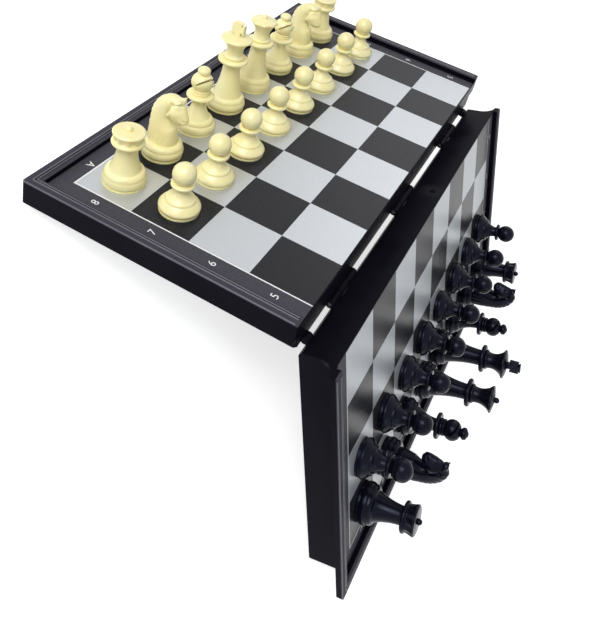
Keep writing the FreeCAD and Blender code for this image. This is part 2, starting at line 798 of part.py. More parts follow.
def horse_taper(body):
    """Cut both flanks so that the horse narrows from its chest to its ears."""
    for side, sign in (("near", "-"), ("far", "")):
        sketch = add_sketch(body, f"{side}_flank_outline", "YZ_Plane")
        draw_outline(sketch, [
            (f"{sign}(knight_neck_thickness / 2)", "knight_shoulder", 0),
            (f"{sign}(knight_head_thickness / 2)", "knight_height + knight_ear", 0),
            (f"{sign}knight_neck_thickness", "knight_height + knight_ear", 0),
            (f"{sign}knight_neck_thickness", "knight_shoulder", 0)])
        pocket(body, sketch, f"{side}_flank", "4 * knight_foot", centred=True)


def horse_ears(body):
    """Part the ears with a notch that runs forward from the poll."""
    sketch = add_sketch(body, "ear_notch_outline", "YZ_Plane", "knight_poll")
    draw_outline(sketch, [
        ("0", "knight_height - 1.2 * knight_ear", 0),
        ("knight_ear_gap", "knight_height + 1.2 * knight_ear", 0),
        ("-knight_ear_gap", "knight_height + 1.2 * knight_ear", 0)])
    pocket(body, sketch, "ear_notch", "knight_muzzle", upward=True)


def round_horse(body):
    """Round the long edges between the horse's flanks and its outline."""
    foot, top = size("knight_shoulder"), size("knight_height + knight_ear")
    wide, narrow = size("knight_neck_thickness / 2"), size("knight_head_thickness / 2")

    def on_flank(edge):
        for corner in edge.Vertexes:
            half_thickness = wide + (narrow - wide) * (corner.Z - foot) / (top - foot)
            if corner.Z < foot - TOUCHING or abs(abs(corner.Y) - half_thickness) > 1e-4:
                return False
        return edge.BoundBox.ZLength > TOUCHING and edge.BoundBox.YLength < wide

    dress_edges(body, "Fillet", "horse_rounding", "knight_rounding", on_flank)


def horse_cheeks(body):
    """Round cheeks that stand proud of both flanks."""
    sketch = add_sketch(body, "cheek_outline", "XZ_Plane")
    draw_circle(sketch, "knight_cheek_reach", "knight_cheek_height", "knight_cheek")
    pad(body, sketch, "cheeks", "knight_cheek_thickness", centred=True)


def head_of_knight(body):
    """The horse's arched neck and bowed head, facing +X."""
    horse_outline(body)
    horse_taper(body)
    horse_ears(body)
    round_horse(body)
    horse_cheeks(body)


def moulding(kind):
    """Mould one kind of man: a turned foot and stem, its head, and a seat for its magnet."""
    body = new_body(f"{kind}_moulding")
    profile = add_sketch(body, f"{kind}_profile", "XZ_Plane")
    if kind == "knight":
        stations = foot_stations(kind) + [("knight_waist", "knight_shoulder", 0), ("0", "knight_shoulder", 0)]
    else:
        stations = foot_stations(kind) + stem_stations(kind) + head_stations(kind)
    draw_outline(profile, stations)
    turn(body, profile, f"{kind}_turned")
    dressing = {"rook": flute_rook, "queen": scallop_queen, "bishop": slot_bishop, "king": cross_king,
                "knight": head_of_knight}
    if kind in dressing:
        dressing[kind](body)
    seat = add_sketch(body, f"{kind}_magnet_seat", offset="cap_height")
    draw_circle(seat, "0", "0", "magnet_radius + magnet_clearance")
    pocket(body, seat, f"{kind}_seat", "magnet_thickness", upward=True)
    return body


def man_pieces(kind):
    """The three pieces of a man: its moulding, the cap under it and the magnet between them."""
    cap = cylinder(f"{kind}_cap", f"{kind}_foot - foot_rounding - cap_inset / 2", "cap_height")
    magnet = cylinder(f"{kind}_magnet", "magnet_radius", "magnet_thickness")
    move_to(magnet, "0", "0", "cap_height")
    return [moulding(kind), cap, magnet]


def stand_man(label, pieces, half, rank, file_number, turned):
    """Stand a man on its square and fold it with its half of the board."""
    flat = group(f"{label}_flat", pieces)
    if turned:
        flat.Placement = FreeCAD.Placement(Vector(), FreeCAD.Rotation(Vector(0, 0, 1), turned))
    ranks_out = rank - 4.5 if half == UPPER else 4.5 - rank
    out = f"field_start + {ranks_out} * square_size"
    move_to(flat, along(half, out), f"{file_number - 3.5} * square_size", "surface_height + man_clearance")
    man = group(label, [flat])
    fold_about_hinge(man, half)
    return man


def set_of_men():
    """Stand both sides on their first two ranks, ivory on the upper half and black on the lower."""
    pieces = {kind: man_pieces(kind) for kind in ("pawn", "rook", "knight", "bishop", "queen", "king")}
    back_rows = {
        "white": ("rook", "knight", "bishop", "king", "queen", "bishop", "knight", "rook"),
        "black": ("rook", "knight", "bishop", "queen", "king", "bishop", "knight", "rook")}
    men = []
    for side, half, back_rank, pawn_rank in (("white", UPPER, 8, 7), ("black", LOWER, 1, 2)):
        for number, letter in enumerate(FILES):
            kind = back_rows[side][number]
            turned = TURNS[side] + (WHITE_BISHOP_TURN if (side, kind) == ("white", "bishop") else 0)
            label = f"{side}_{kind}_{letter}{back_rank}"
            men.append(stand_man(label, pieces[kind], half, back_rank, number, turned))
            label = f"{side}_pawn_{letter}{pawn_rank}"
            men.append(stand_man(label, pieces["pawn"], half, pawn_rank, number, 0))
    return men


def build():
    nodes = [case_shell(UPPER, "upper_case_shell"), case_shell(LOWER, "lower_case_shell")]
    plate_top = "recess_floor + plate_thickness"
    for half, name in ((UPPER, "upper"), (LOWER, "lower")):
        nodes.append(flat_layer(half, f"{name}_steel_plate", "recess_floor", "plate_thickness"))
        nodes.append(flat_layer(half, f"{name}_playing_sheet", plate_top, "sheet_thickness"))
        nodes.append(catch_magnets(half, f"{name}_catch_magnets"))
    nodes.append(hinge_pins())
    return nodes + set_of_men()


def write(nodes):
    """Check every object and write each sub-part to its own file."""
    doc.recompute()
    for item in doc.Objects:
        if "Invalid" in item.State or "Error" in item.State:
            raise RuntimeError(f"{item.Label} failed: {item.State}")
    os.makedirs("parts", exist_ok=True)
    for node in nodes:
        if node.Shape.isNull() or not node.Shape.isValid():
            raise RuntimeError(f"{node.Label} has no valid shape")
        node.Shape.exportStep(os.path.join("parts", f"{node.Label}.step"))
        print(f"{node.Label}: {len(node.Shape.Solids)} solids, {node.Shape.Volume / 1000:.2f} cm3")


write(build())
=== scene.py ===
# %% [markdown]
# # A folding magnetic chess set
# The object is a black plastic case in two halves, half folded into a ridge, with both armies
# set up on its printed outside. The CAD frame gives the case, the hinge and the place of every
# man. This notebook dresses it: it turns smooth men on Geometry Nodes, models the horses, prints
# the board, beads the rim, and gives each piece its plastic, film or metal.

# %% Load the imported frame
import json
import math
from functools import partial

import bmesh
import bpy
from mathutils import Matrix, Vector
from mathutils.geometry import delaunay_2d_cdt


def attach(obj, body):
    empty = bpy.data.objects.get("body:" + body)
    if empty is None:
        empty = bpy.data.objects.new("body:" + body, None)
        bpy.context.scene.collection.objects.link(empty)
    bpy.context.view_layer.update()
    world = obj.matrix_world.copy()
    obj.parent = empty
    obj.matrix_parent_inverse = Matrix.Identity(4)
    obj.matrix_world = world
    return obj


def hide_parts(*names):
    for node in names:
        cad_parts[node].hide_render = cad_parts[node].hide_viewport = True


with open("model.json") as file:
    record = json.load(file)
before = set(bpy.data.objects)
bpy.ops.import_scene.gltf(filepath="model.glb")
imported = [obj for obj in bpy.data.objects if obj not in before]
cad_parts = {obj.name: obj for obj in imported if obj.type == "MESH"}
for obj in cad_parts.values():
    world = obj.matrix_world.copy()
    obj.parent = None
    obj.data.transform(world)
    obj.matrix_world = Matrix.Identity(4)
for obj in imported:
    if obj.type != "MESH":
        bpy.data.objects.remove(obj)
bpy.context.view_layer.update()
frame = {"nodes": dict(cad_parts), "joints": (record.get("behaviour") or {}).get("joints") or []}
nodes = frame["nodes"]
MM = 0.001

# %% [markdown]
# ## Where things are
# Both halves are easiest to think of lying flat, as one open board: x runs along the files,
# from rank 8 to rank 1, y along the hinge and z up. Each half then turns about the hinge. The
# frame knows the hinge's place from the fold joint, and each half's slope from the direction in
# which its men lift off, so nothing has to be measured again.

# %% Board places
JOINTS = {joint["name"]: joint for joint in frame["joints"]}
FILES = "abcdefgh"
MIDDLE_FILE, MIDDLE_RANK = 3.5, 4.5
SQUARE = 27.4
FIELD_START = 1.4
FIELD_HALF = 4 * SQUARE
FIELD_END = FIELD_START + 4 * SQUARE
SURFACE = 16.4
# The way from the hinge to each half's outer end, along x
OUTWARD = {"upper": -1, "lower": 1}


def half_place(lift_joint):
    """The matrix from the open board, in millimetres, to the folded half, in metres."""
    normal = Vector(JOINTS[lift_joint]["axis"])
    slope = math.atan2(normal.x, normal.z)
    hinge = Matrix.Translation(JOINTS["board_fold"]["pos_m"])
    return hinge @ Matrix.Rotation(slope, 4, "Y") @ Matrix.Scale(MM, 4)


PLACES = {"upper": half_place("lift_white_rook_a8"), "lower": half_place("lift_black_rook_a1")}


def rank_centre(rank):
    """The x of a rank's squares on the open board."""
    ranks_out = MIDDLE_RANK - rank
    return ranks_out * SQUARE + math.copysign(FIELD_START, ranks_out)


def file_centre(letter):
    """The y of a file's squares."""
    return (FILES.index(letter) - MIDDLE_FILE) * SQUARE


for half, place in PLACES.items():
    at_hinge = place @ Vector((0, 0, SURFACE))
    print(half, "half: surface at the hinge", [round(v, 4) for v in at_hinge])

# %% [markdown]
# ## Helpers for meshes
# A piece is a mesh that already holds its place, so its object stays at the origin.

# %% Mesh helpers
SHARP_ANGLE = math.radians(38)
WELD_DISTANCE = 1e-5


def add_object(name, data):
    """A new object in the scene, at the origin."""
    made = bpy.data.objects.new(name, data)
    bpy.context.scene.collection.objects.link(made)
    return made


def workpiece(mesh):
    """A temporary object that carries modifiers."""
    return add_object("workpiece", mesh)


def paint(mesh, material):
    """Give a mesh one material."""
    mesh.materials.clear()
    mesh.materials.append(material)


def add_piece(name, mesh, body, material, replaced=None):
    """Put a finished mesh into the scene, on its body."""
    piece = add_object(name, mesh)
    paint(mesh, material)
    if replaced:
        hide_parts(replaced)
    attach(piece, body)
    return piece


def settled_mesh(worked):
    """The mesh of an object with its modifiers applied; the object itself is removed."""
    evaluated = worked.evaluated_get(bpy.context.evaluated_depsgraph_get())
    mesh = bpy.data.meshes.new_from_object(evaluated)
    worked.modifiers.clear()
    bpy.data.objects.remove(worked)
    return mesh


def mesh_from(shell, name):
    """A mesh with what a bmesh holds; the bmesh is freed."""
    mesh = bpy.data.meshes.new(name)
    shell.to_mesh(mesh)
    shell.free()
    return mesh


def turn_outwards(mesh):
    """Merge doubles, point every face outwards and shade the mesh smooth up to its sharp edges."""
    shell = bmesh.new()
    shell.from_mesh(mesh)
    bmesh.ops.remove_doubles(shell, verts=shell.verts, dist=WELD_DISTANCE)
    bmesh.ops.recalc_face_normals(shell, faces=shell.faces)
    for face in shell.faces:
        face.smooth = True
    shell.to_mesh(mesh)
    shell.free()
    mesh.set_sharp_from_angle(angle=SHARP_ANGLE)
    return mesh


def joined(meshes):
    """One mesh from several."""
    whole = bmesh.new()
    for mesh in meshes:
        whole.from_mesh(mesh)
    result = mesh_from(whole, "joined")
    result.set_sharp_from_angle(angle=SHARP_ANGLE)
    return result


# %% Node helpers
def feed(tree, node, values):
    """Give a node's inputs their values, or link other nodes' outputs to them."""
    for socket, value in values.items():
        if isinstance(value, bpy.types.NodeSocket):
            tree.links.new(value, node.inputs[socket])
        elif value is not None:
            node.inputs[socket].default_value = value


def add_node(tree, kind, label="", inputs=None, **settings):
    node = tree.nodes.new(kind)
    node.label = label
    for setting, value in settings.items():
        setattr(node, setting, value)
    feed(tree, node, inputs or {})
    return node


def math_node(tree, operation, first, second=None, label=""):
    """A Math node on numbers or other nodes' outputs; returns its output."""
    inputs = {0: first, 1: second}
    return add_node(tree, "ShaderNodeMath", label, inputs, operation=operation).outputs[0]


def add_mix(tree, label, kind, factor, first, second):
    """A Mix node between two values or outputs; returns its output."""
    inputs = {"Factor": factor, "A": first, "B": second}
    return add_node(tree, "ShaderNodeMix", label, inputs, data_type=kind).outputs["Result"]


def add_sockets(tree, direction, sockets):
    """Declare a tree's sockets, each by its name, its kind and perhaps a default."""
    for name, kind, *default in sockets:
        socket = tree.interface.new_socket(
            name, in_out=direction, socket_type=f"NodeSocket{kind}")
        if default:
            socket.default_value = default[0]


# %% [markdown]
# ## Moulded plastic
# The case and the men are injection moulded. Moulded plastic is never quite even: a fine grain
# from the tool breaks up the highlight, slow cloudy streaks make some places duller, and the
# colour drifts a little. One shader group gives all three, and each plastic sets its own scale
# and strength.

# %% The moulded plastic group
STREAKS_FROM, STREAKS_TO = 0.35, 0.65
STREAK_SHARE, GRAIN_SHARE = 0.7, 0.3


def new_group(name, inputs):
    """A shader group, its inputs, and the node that takes its colour, roughness and height."""
    group = bpy.data.node_groups.new(name, "ShaderNodeTree")
    add_sockets(group, "INPUT", [("Vector", "Vector"), *inputs])
    add_sockets(group, "OUTPUT", [("Color", "Color"), ("Roughness", "Float"), ("Height", "Float")])
    return group, add_node(group, "NodeGroupInput").outputs, add_node(group, "NodeGroupOutput")


def plastic_group():
    group, given, result = new_group("moulded_plastic", [
        ("Tone", "Color", (0.5, 0.5, 0.5, 1)), ("Deep Tone", "Color", (0.4, 0.4, 0.4, 1)),
        ("Glossy", "Float", 0.3), ("Dull", "Float", 0.5),
        ("Cloud Scale", "Float", 60.0), ("Grain Scale", "Float", 2500.0)])
    clouds = add_node(group, "ShaderNodeTexNoise", "slow streaks", {
        "Vector": given["Vector"], "Scale": given["Cloud Scale"], "Detail": 3, "Distortion": 0.6})
    grain = add_node(group, "ShaderNodeTexNoise", "tool grain", {
        "Vector": given["Vector"], "Scale": given["Grain Scale"], "Detail": 2})
    spread = add_node(group, "ShaderNodeMapRange", "streaks from 0 to 1", {
        "Value": clouds.outputs["Fac"], "From Min": STREAKS_FROM, "From Max": STREAKS_TO})
    streaks, speckle = spread.outputs["Result"], grain.outputs["Fac"]
    dulled = math_node(group, "ADD", math_node(group, "MULTIPLY", streaks, STREAK_SHARE),
                       math_node(group, "MULTIPLY", speckle, GRAIN_SHARE))
    tone = add_mix(group, "colour drift", "RGBA", streaks, given["Tone"], given["Deep Tone"])
    shine = add_mix(group, "dull places", "FLOAT", dulled, given["Glossy"], given["Dull"])
    feed(group, result, {"Color": tone, "Roughness": shine, "Height": speckle})
    return group


MOULDED = plastic_group()
print("group:", MOULDED.name)

# %% Plastics
TOOL_GRAIN = 0.02
COOL_SHEEN = (0.66, 0.72, 1.0, 1)


def new_material(name):
    """A material with its tree and its Principled BSDF."""
    material = bpy.data.materials.new(name)
    material.use_nodes = True
    return material, material.node_tree, material.node_tree.nodes["Principled BSDF"]


def object_coordinates(tree):
    return add_node(tree, "ShaderNodeTexCoord").outputs["Object"]


def grouped_material(group, relief, name, bump, values, constants):
    """A material with a group's colour, roughness and fine relief; the rest is constant."""
    material, tree, shader = new_material(name)
    inputs = {"Vector": object_coordinates(tree), **values}
    pattern = add_node(tree, "ShaderNodeGroup", "", inputs, node_tree=group).outputs
    raised = add_node(tree, "ShaderNodeBump", "", {
        "Strength": bump, "Distance": relief * MM, "Height": pattern["Height"]})
    feed(tree, shader, {
        "Base Color": pattern["Color"], "Roughness": pattern["Roughness"],
        "Normal": raised.outputs["Normal"]})
    feed(tree, shader, {socket.replace("_", " "): value for socket, value in constants.items()})
    return material


def moulded_material(name, bump, values, **constants):
    return grouped_material(MOULDED, TOOL_GRAIN, name, bump, values, constants)


black_case = moulded_material(
    "black_case", 0.5,
    {"Tone": (0.0036, 0.0033, 0.0064, 1), "Deep Tone": (0.0054, 0.0050, 0.0088, 1),
     "Glossy": 0.24, "Dull": 0.38, "Cloud Scale": 45.0, "Grain Scale": 3500.0},
    Specular_IOR_Level=0.03, Specular_Tint=COOL_SHEEN)
black_men = moulded_material(
    "black_men", 0.35,
    {"Tone": (0.0032, 0.0032, 0.0076, 1), "Deep Tone": (0.0046, 0.0046, 0.0100, 1),
     "Glossy": 0.17, "Dull": 0.28, "Cloud Scale": 90.0, "Grain Scale": 3000.0},
    Specular_IOR_Level=0.14, Specular_Tint=COOL_SHEEN)
ivory_men = moulded_material(
    "ivory_men", 0.3,
    {"Tone": (0.95, 0.87, 0.48, 1), "Deep Tone": (0.92, 0.83, 0.42, 1),
     "Glossy": 0.28, "Dull": 0.40, "Cloud Scale": 90.0, "Grain Scale": 3000.0},
    Subsurface_Weight=0.3, Subsurface_Radius=(1.0, 0.7, 0.25), Subsurface_Scale=1.5 * MM,
    Specular_IOR_Level=0.75)
print("plastics:", black_case.name, black_men.name, ivory_men.name)

# %% [markdown]
# ## Printed film and metal
# The squares are printed on a satin film: charcoal ink, and a silver ink whose flakes give a fine
# speckle and a soft metallic sheen. The steel plates, the blackened pins and the nickel magnets
# have a fine crystal grain. A painted image could give this, but a pattern of cells is finer and
# needs no file, so a second group breaks all these surfaces up with specks.

# %% The speckle group
INK_DRIFT_SCALE, INK_DRIFT_DETAIL = 35, 4


def speckle_group():
    group, given, result = new_group("fine_specks", [
        ("Tone", "Color", (0.5, 0.5, 0.5, 1)), ("Speck Tone", "Color", (0.6, 0.6, 0.6, 1)),
        ("Smooth", "Float", 0.3), ("Rough", "Float", 0.45), ("Speck Scale", "Float", 1500.0)])
    specks = add_node(group, "ShaderNodeTexVoronoi", "flakes", {
        "Vector": given["Vector"], "Scale": given["Speck Scale"]})
    drift = add_node(group, "ShaderNodeTexNoise", "uneven ink", {
        "Vector": given["Vector"], "Scale": INK_DRIFT_SCALE, "Detail": INK_DRIFT_DETAIL})
    grey = add_node(group, "ShaderNodeSeparateColor", "", {"Color": specks.outputs["Color"]})
    flakes, uneven = grey.outputs["Red"], drift.outputs["Fac"]
    tone = add_mix(group, "flake colour", "RGBA", flakes, given["Tone"], given["Speck Tone"])
    shine = add_mix(group, "flake sheen", "FLOAT", uneven, given["Smooth"], given["Rough"])
    feed(group, result, {"Color": tone, "Roughness": shine, "Height": flakes})
    return group


SPECKS = speckle_group()
print("group:", SPECKS.name)

# %% Inks and metals
SPECK_RELIEF = 0.01


def speckled_material(name, bump, values, **constants):
    return grouped_material(SPECKS, SPECK_RELIEF, name, bump, values, constants)


charcoal_film = speckled_material(
    "charcoal_film", 0.15,
    {"Tone": (0.0165, 0.0167, 0.0205, 1), "Speck Tone": (0.0210, 0.0212, 0.0258, 1),
     "Smooth": 0.24, "Rough": 0.32, "Speck Scale": 3200.0}, Specular_IOR_Level=0.15)
silver_ink = speckled_material(
    "silver_ink", 0.15,
    {"Tone": (0.515, 0.537, 0.566, 1), "Speck Tone": (0.570, 0.592, 0.621, 1),
     "Smooth": 0.32, "Rough": 0.38, "Speck Scale": 4200.0}, Metallic=0.5)
border_ink = speckled_material(
    "border_ink", 0.4,
    {"Tone": (0.044, 0.043, 0.056, 1), "Speck Tone": (0.064, 0.063, 0.080, 1),
     "Smooth": 0.45, "Rough": 0.6, "Speck Scale": 2600.0}, Specular_IOR_Level=0.15)
white_ink = speckled_material(
    "white_ink", 0.1,
    {"Tone": (0.84, 0.84, 0.85, 1), "Speck Tone": (0.88, 0.88, 0.89, 1),
     "Smooth": 0.4, "Rough": 0.5, "Speck Scale": 3000.0})
drawn_steel = speckled_material(
    "drawn_steel", 0.2,
    {"Tone": (0.52, 0.52, 0.53, 1), "Speck Tone": (0.62, 0.62, 0.63, 1),
     "Smooth": 0.22, "Rough": 0.36, "Speck Scale": 2600.0}, Metallic=1.0)
blackened_steel = speckled_material(
    "blackened_steel", 0.2,
    {"Tone": (0.030, 0.030, 0.033, 1), "Speck Tone": (0.045, 0.045, 0.049, 1),
     "Smooth": 0.28, "Rough": 0.42, "Speck Scale": 2600.0}, Metallic=1.0)
nickel = speckled_material(
    "nickel", 0.15,
    {"Tone": (0.60, 0.58, 0.55, 1), "Speck Tone": (0.68, 0.66, 0.63, 1),
     "Smooth": 0.16, "Rough": 0.28, "Speck Scale": 2600.0}, Metallic=1.0)

NODE_FINISHES = {
    "case_shell": black_case, "playing_sheet": charcoal_film, "steel_plate": drawn_steel,
    "catch_magnets": nickel, "hinge_pins": blackened_steel}
for name, node in nodes.items():
    for ending, finish in NODE_FINISHES.items():
        if name.endswith(ending):
            paint(node.data, finish)
print("finished CAD nodes:", sum(name.endswith(tuple(NODE_FINISHES)) for name in nodes))

# %% [markdown]
# ## Turned men
# Every man but the horse is a turned form, and so is the horse's foot: one outline spun about an
# axis. The outline is a short list of stations, each a radius, a height and the swell of the
# curve that leaves it. A Geometry Nodes tree does the spinning, so the same rule makes them all,
# and it can also press flutes into a crown: the radius is drawn in by a wave that runs round the
# axis, between two heights.

# %% Sizes of the men
MEN = {
    "pawn": dict(
        height=23.0, foot=9.0, foot_swell=0.08, belt=1.7, base=5.4, ring=6.35, shoulder=6.7,
        waist=5.4, neck=2.9, collar=4.95, collar_at=12.2, collar_thick=1.5, stem_swell=-0.26,
        ball=4.95),
    "rook": dict(
        height=27.8, foot=9.6, foot_swell=0.26, base=4.7, ring=8.8, shoulder=7.2,
        waist=6.7, neck=4.1, collar=6.8, collar_at=19.4, collar_thick=1.8, stem_swell=-0.1,
        crown_foot=5.9, crown=6.9, knob=1.4, flutes=10, flute_depth=0.7, press=1.0),
    "bishop": dict(
        height=33.2, foot=9.4, foot_swell=0.42, base=4.9, ring=7.9, shoulder=7.2,
        waist=6.0, neck=3.1, collar=6.3, collar_at=17.3, collar_thick=1.9, stem_swell=-0.16,
        bead=4.2, bead_height=1.3, head_foot=3.4, head_top=2.1, knob=2.3),
    "queen": dict(
        height=41.6, foot=9.85, foot_swell=0.26, base=5.0, ring=8.9, shoulder=7.4,
        waist=7.0, neck=4.0, collar=6.9, collar_at=25.0, collar_thick=2.2, stem_swell=-0.08,
        bead=4.9, bead_height=1.5, stem=4.2, crown=6.9, crown_swell=-0.32, rim=1.0, knob=1.5,
        flutes=9, flute_depth=0.6),
    "king": dict(
        height=46.4, foot=9.85, foot_swell=0.26, base=5.0, ring=8.9, shoulder=7.4,
        waist=7.0, neck=4.2, collar=7.1, collar_at=25.4, collar_thick=2.2, stem_swell=-0.08,
        bead=5.2, bead_height=1.6, stem=4.4, crown=7.6, crown_swell=-0.36, rim=0.9, dome=1.3,
        cross_height=6.8, cross_width=6.8, cross_bar=2.6, cross_flare=5.0, cross_thick=2.4),
    "knight": dict(
        height=32.4, foot=9.5, foot_swell=0.28, base=4.8, ring=8.7, shoulder=7.4, waist=7.2),
}
print("kinds of men:", ", ".join(MEN))

# %% Outlines of the turned men
# A station's swell is half its arc's height over half its chord; a dome runs into the axis level
DOME = "dome"
CAP_TOP, FOOT_BOTTOM, CAP_GROOVE = 0.95, 1.5, 0.6
FOOT_ROUNDING, COLLAR_ROUNDING, BEAD_ROUNDING = 0.5, 0.6, 0.4
BELT_SWELL, RING_SWELL, BEAD_SWELL, MITRE_SWELL, RIM_SWELL = 0.35, 0.35, 0.8, 0.62, 0.4
ROOK_CROWN_SWELL, RIM_LEAN = -0.06, 0.5
# A ball that meets its seat at 30 degrees: the legs of that corner
SHORT_LEG, LONG_LEG = 0.5, math.sqrt(3) / 2
# The bishop's knob, in shares of its radius: radius and drop from the top of two stations
KNOB_FOOT, KNOB_BROW, MITRE_DROP = (0.8, 1.6), (0.75, 0.3), 1.7


def foot_outline(man):
    """The cap that closes the foot, the groove above it, the rounded foot and its ring."""
    edge = man["foot"] - FOOT_ROUNDING
    belt = [(edge, FOOT_BOTTOM, BELT_SWELL)] if "belt" in man else []
    return [(0, 0, 0), (edge, 0, 0), (edge, CAP_TOP, 0), (edge - CAP_GROOVE, CAP_TOP, 0),
            (edge - CAP_GROOVE, FOOT_BOTTOM, 0), *belt,
            (edge, FOOT_BOTTOM + man.get("belt", 0), man["foot_swell"]),
            (man["ring"], man["base"], RING_SWELL)]


def stem_outline(man):
    edge, top = man["collar"] - COLLAR_ROUNDING, man["collar_at"] + man["collar_thick"]
    return [(man["waist"], man["shoulder"], man["stem_swell"]), (man["neck"], man["collar_at"], 0),
            (edge, man["collar_at"], BEAD_SWELL), (edge, top, 0)]


def knob_seat(man):
    """The height at which a round knob rises from its crown."""
    return man["height"] - (1 + SHORT_LEG) * man["knob"]


def knob_outline(man):
    return [(LONG_LEG * man["knob"], knob_seat(man), DOME), (0, man["height"], 0)]


def bead_outline(man, first, count):
    edge = man["bead"] - BEAD_ROUNDING * man["bead_height"]
    heights = [first + number * man["bead_height"] for number in range(count + 1)]
    return [(edge, height, BEAD_SWELL) for height in heights[:-1]] + [(edge, heights[-1], 0)]


def crown_top(kind):
    """The height of the widest edge of a crown."""
    man = MEN[kind]
    if kind == "rook":
        return knob_seat(man) - man["flute_depth"]
    if kind == "queen":
        return knob_seat(man) - 2 * man["rim"]
    return man["height"] - man["cross_height"] - man["dome"] - man["rim"]


def head_outline(kind, man):
    if kind == "knight":
        return [(man["waist"], man["shoulder"], 0), (0, man["shoulder"], 0)]
    top, height = man["collar_at"] + man["collar_thick"], man["height"]
    if kind == "pawn":
        ball = man["ball"]
        return [(SHORT_LEG * ball, height - (1 + LONG_LEG) * ball, DOME), (0, height, 0)]
    if kind == "bishop":
        knob = man["knob"]
        (foot, foot_drop), (brow, brow_drop) = KNOB_FOOT, KNOB_BROW
        return bead_outline(man, top, 2) + [
            (man["head_foot"], top + 2 * man["bead_height"], MITRE_SWELL),
            (man["head_top"], height - MITRE_DROP * knob, 0),
            (foot * knob, height - foot_drop * knob, BEAD_SWELL),
            (brow * knob, height - brow_drop * knob, DOME), (0, height, 0)]
    rim, crown = crown_top(kind), man["crown"]
    if kind == "rook":
        bevel = man["flute_depth"]
        return [(man["crown_foot"], top, ROOK_CROWN_SWELL), (crown, rim, 0),
                (crown - bevel, rim + bevel, 0)] + knob_outline(man)
    lid = 0 if kind == "queen" else DOME
    flare = [(man["stem"], top + man["bead_height"], man["crown_swell"]), (crown, rim, RIM_SWELL),
             (crown - RIM_LEAN * man["rim"], rim + man["rim"], lid)]
    tip = knob_outline(man) if kind == "queen" else [(0, rim + man["rim"] + man["dome"], 0)]
    return bead_outline(man, top, 1) + flare + tip


STATIONS = {kind: foot_outline(man) + (stem_outline(man) if kind != "knight" else [])
            + head_outline(kind, man) for kind, man in MEN.items()}
print("stations:", {kind: len(stations) for kind, stations in STATIONS.items()})

# %% Arcs and soft corners
ARC_STEPS = 9
SOFT_CORNER, CORNER_SHARE = 0.22, 0.45
CORNER_TURN = math.radians(20)
TINY = 1e-6


def swelling(start, stop, swell):
    """Points on the arc from start to stop that swells to the right of the way."""
    way = stop - start
    centre = (start + stop) / 2 - Vector((way.y, -way.x)) * (1 - swell ** 2) / (4 * swell)
    turns = [4 * math.atan(swell) * step / ARC_STEPS for step in range(1, ARC_STEPS)]
    return [centre + Matrix.Rotation(turn, 2) @ (start - centre) for turn in turns]


def outline_points(stations):
    """The stations with their arcs filled in."""
    points = []
    for (x, z, swell), following in zip(stations, stations[1:] + [None]):
        start = Vector((x, z))
        points.append(start)
        if following and swell:
            stop = Vector(following[:2])
            if swell == DOME:
                swell = math.tan(math.atan2(stop.y - start.y, start.x) / 2)
            points += swelling(start, stop, swell)
    return points


def soften(points):
    """Round each sharp corner of an outline by a small arc, as a moulding tool leaves it."""
    result = [points[0]]
    for before, corner, after in zip(points, points[1:], points[2:]):
        back, ahead = before - corner, after - corner
        if (back.length < TINY or ahead.length < TINY
                or back.angle(ahead) > math.pi - CORNER_TURN):
            result.append(corner)
            continue
        first, last = (corner + side.normalized() * min(SOFT_CORNER, CORNER_SHARE * side.length)
                       for side in (back, ahead))
        result += [first, (first + 2 * corner + last) / 4, last]
    return result + [points[-1]]


OUTLINES = {kind: soften(outline_points(stations)) for kind, stations in STATIONS.items()}
print("points:", {kind: len(points) for kind, points in OUTLINES.items()})

# %% The turning tree
SEGMENTS = 120
FLUTE_SHARPNESS, FLUTE_FADE = 0.8, 6
NO_TOP = 100.0
TREE_WELD = 1e-4


def new_tree(name, inputs):
    """A Geometry Nodes tree and its inputs, the finish the last of them."""
    tree = bpy.data.node_groups.new(name, "GeometryNodeTree")
    add_sockets(tree, "INPUT", [*inputs, ("Finish", "Material")])
    add_sockets(tree, "OUTPUT", [("Geometry", "Geometry")])
    return tree, add_node(tree, "NodeGroupInput").outputs


def close_tree(tree, given, geometry):
    """End a tree in real geometry that carries its finish."""
    whole = add_node(tree, "GeometryNodeRealizeInstances", "", {"Geometry": geometry})
    painted = add_node(tree, "GeometryNodeSetMaterial", "", {
        "Geometry": whole.outputs["Geometry"], "Material": given["Finish"]})
    add_node(tree, "NodeGroupOutput", "", {"Geometry": painted.outputs["Geometry"]})
    return tree


def add_vector(tree, **parts):
    """A vector made of other nodes' outputs."""
    return add_node(tree, "ShaderNodeCombineXYZ", "", parts).outputs["Vector"]


def flute_press(calc, given, turn, radius, height):
    """How far the flutes draw the radius in, by the angle and the place on the outline."""
    swing = calc("COSINE", calc("MULTIPLY", turn, given["Flutes"]))
    ripple = calc("MULTIPLY", calc("ADD", swing, 1), 0.5, "0 to 1 round the axis")
    groove = calc("POWER", ripple, FLUTE_SHARPNESS)
    above = calc("GREATER_THAN", height, given["Flute From"])
    below = calc("LESS_THAN", height, given["Flute To"])
    on_side = calc("MULTIPLY", above, below, "on the crown's side")
    outer = calc("POWER", calc("DIVIDE", radius, given["Flute Radius"]), FLUTE_FADE)
    return calc("MULTIPLY", calc("MULTIPLY", groove, on_side),
                calc("MULTIPLY", outer, given["Flute Depth"]))


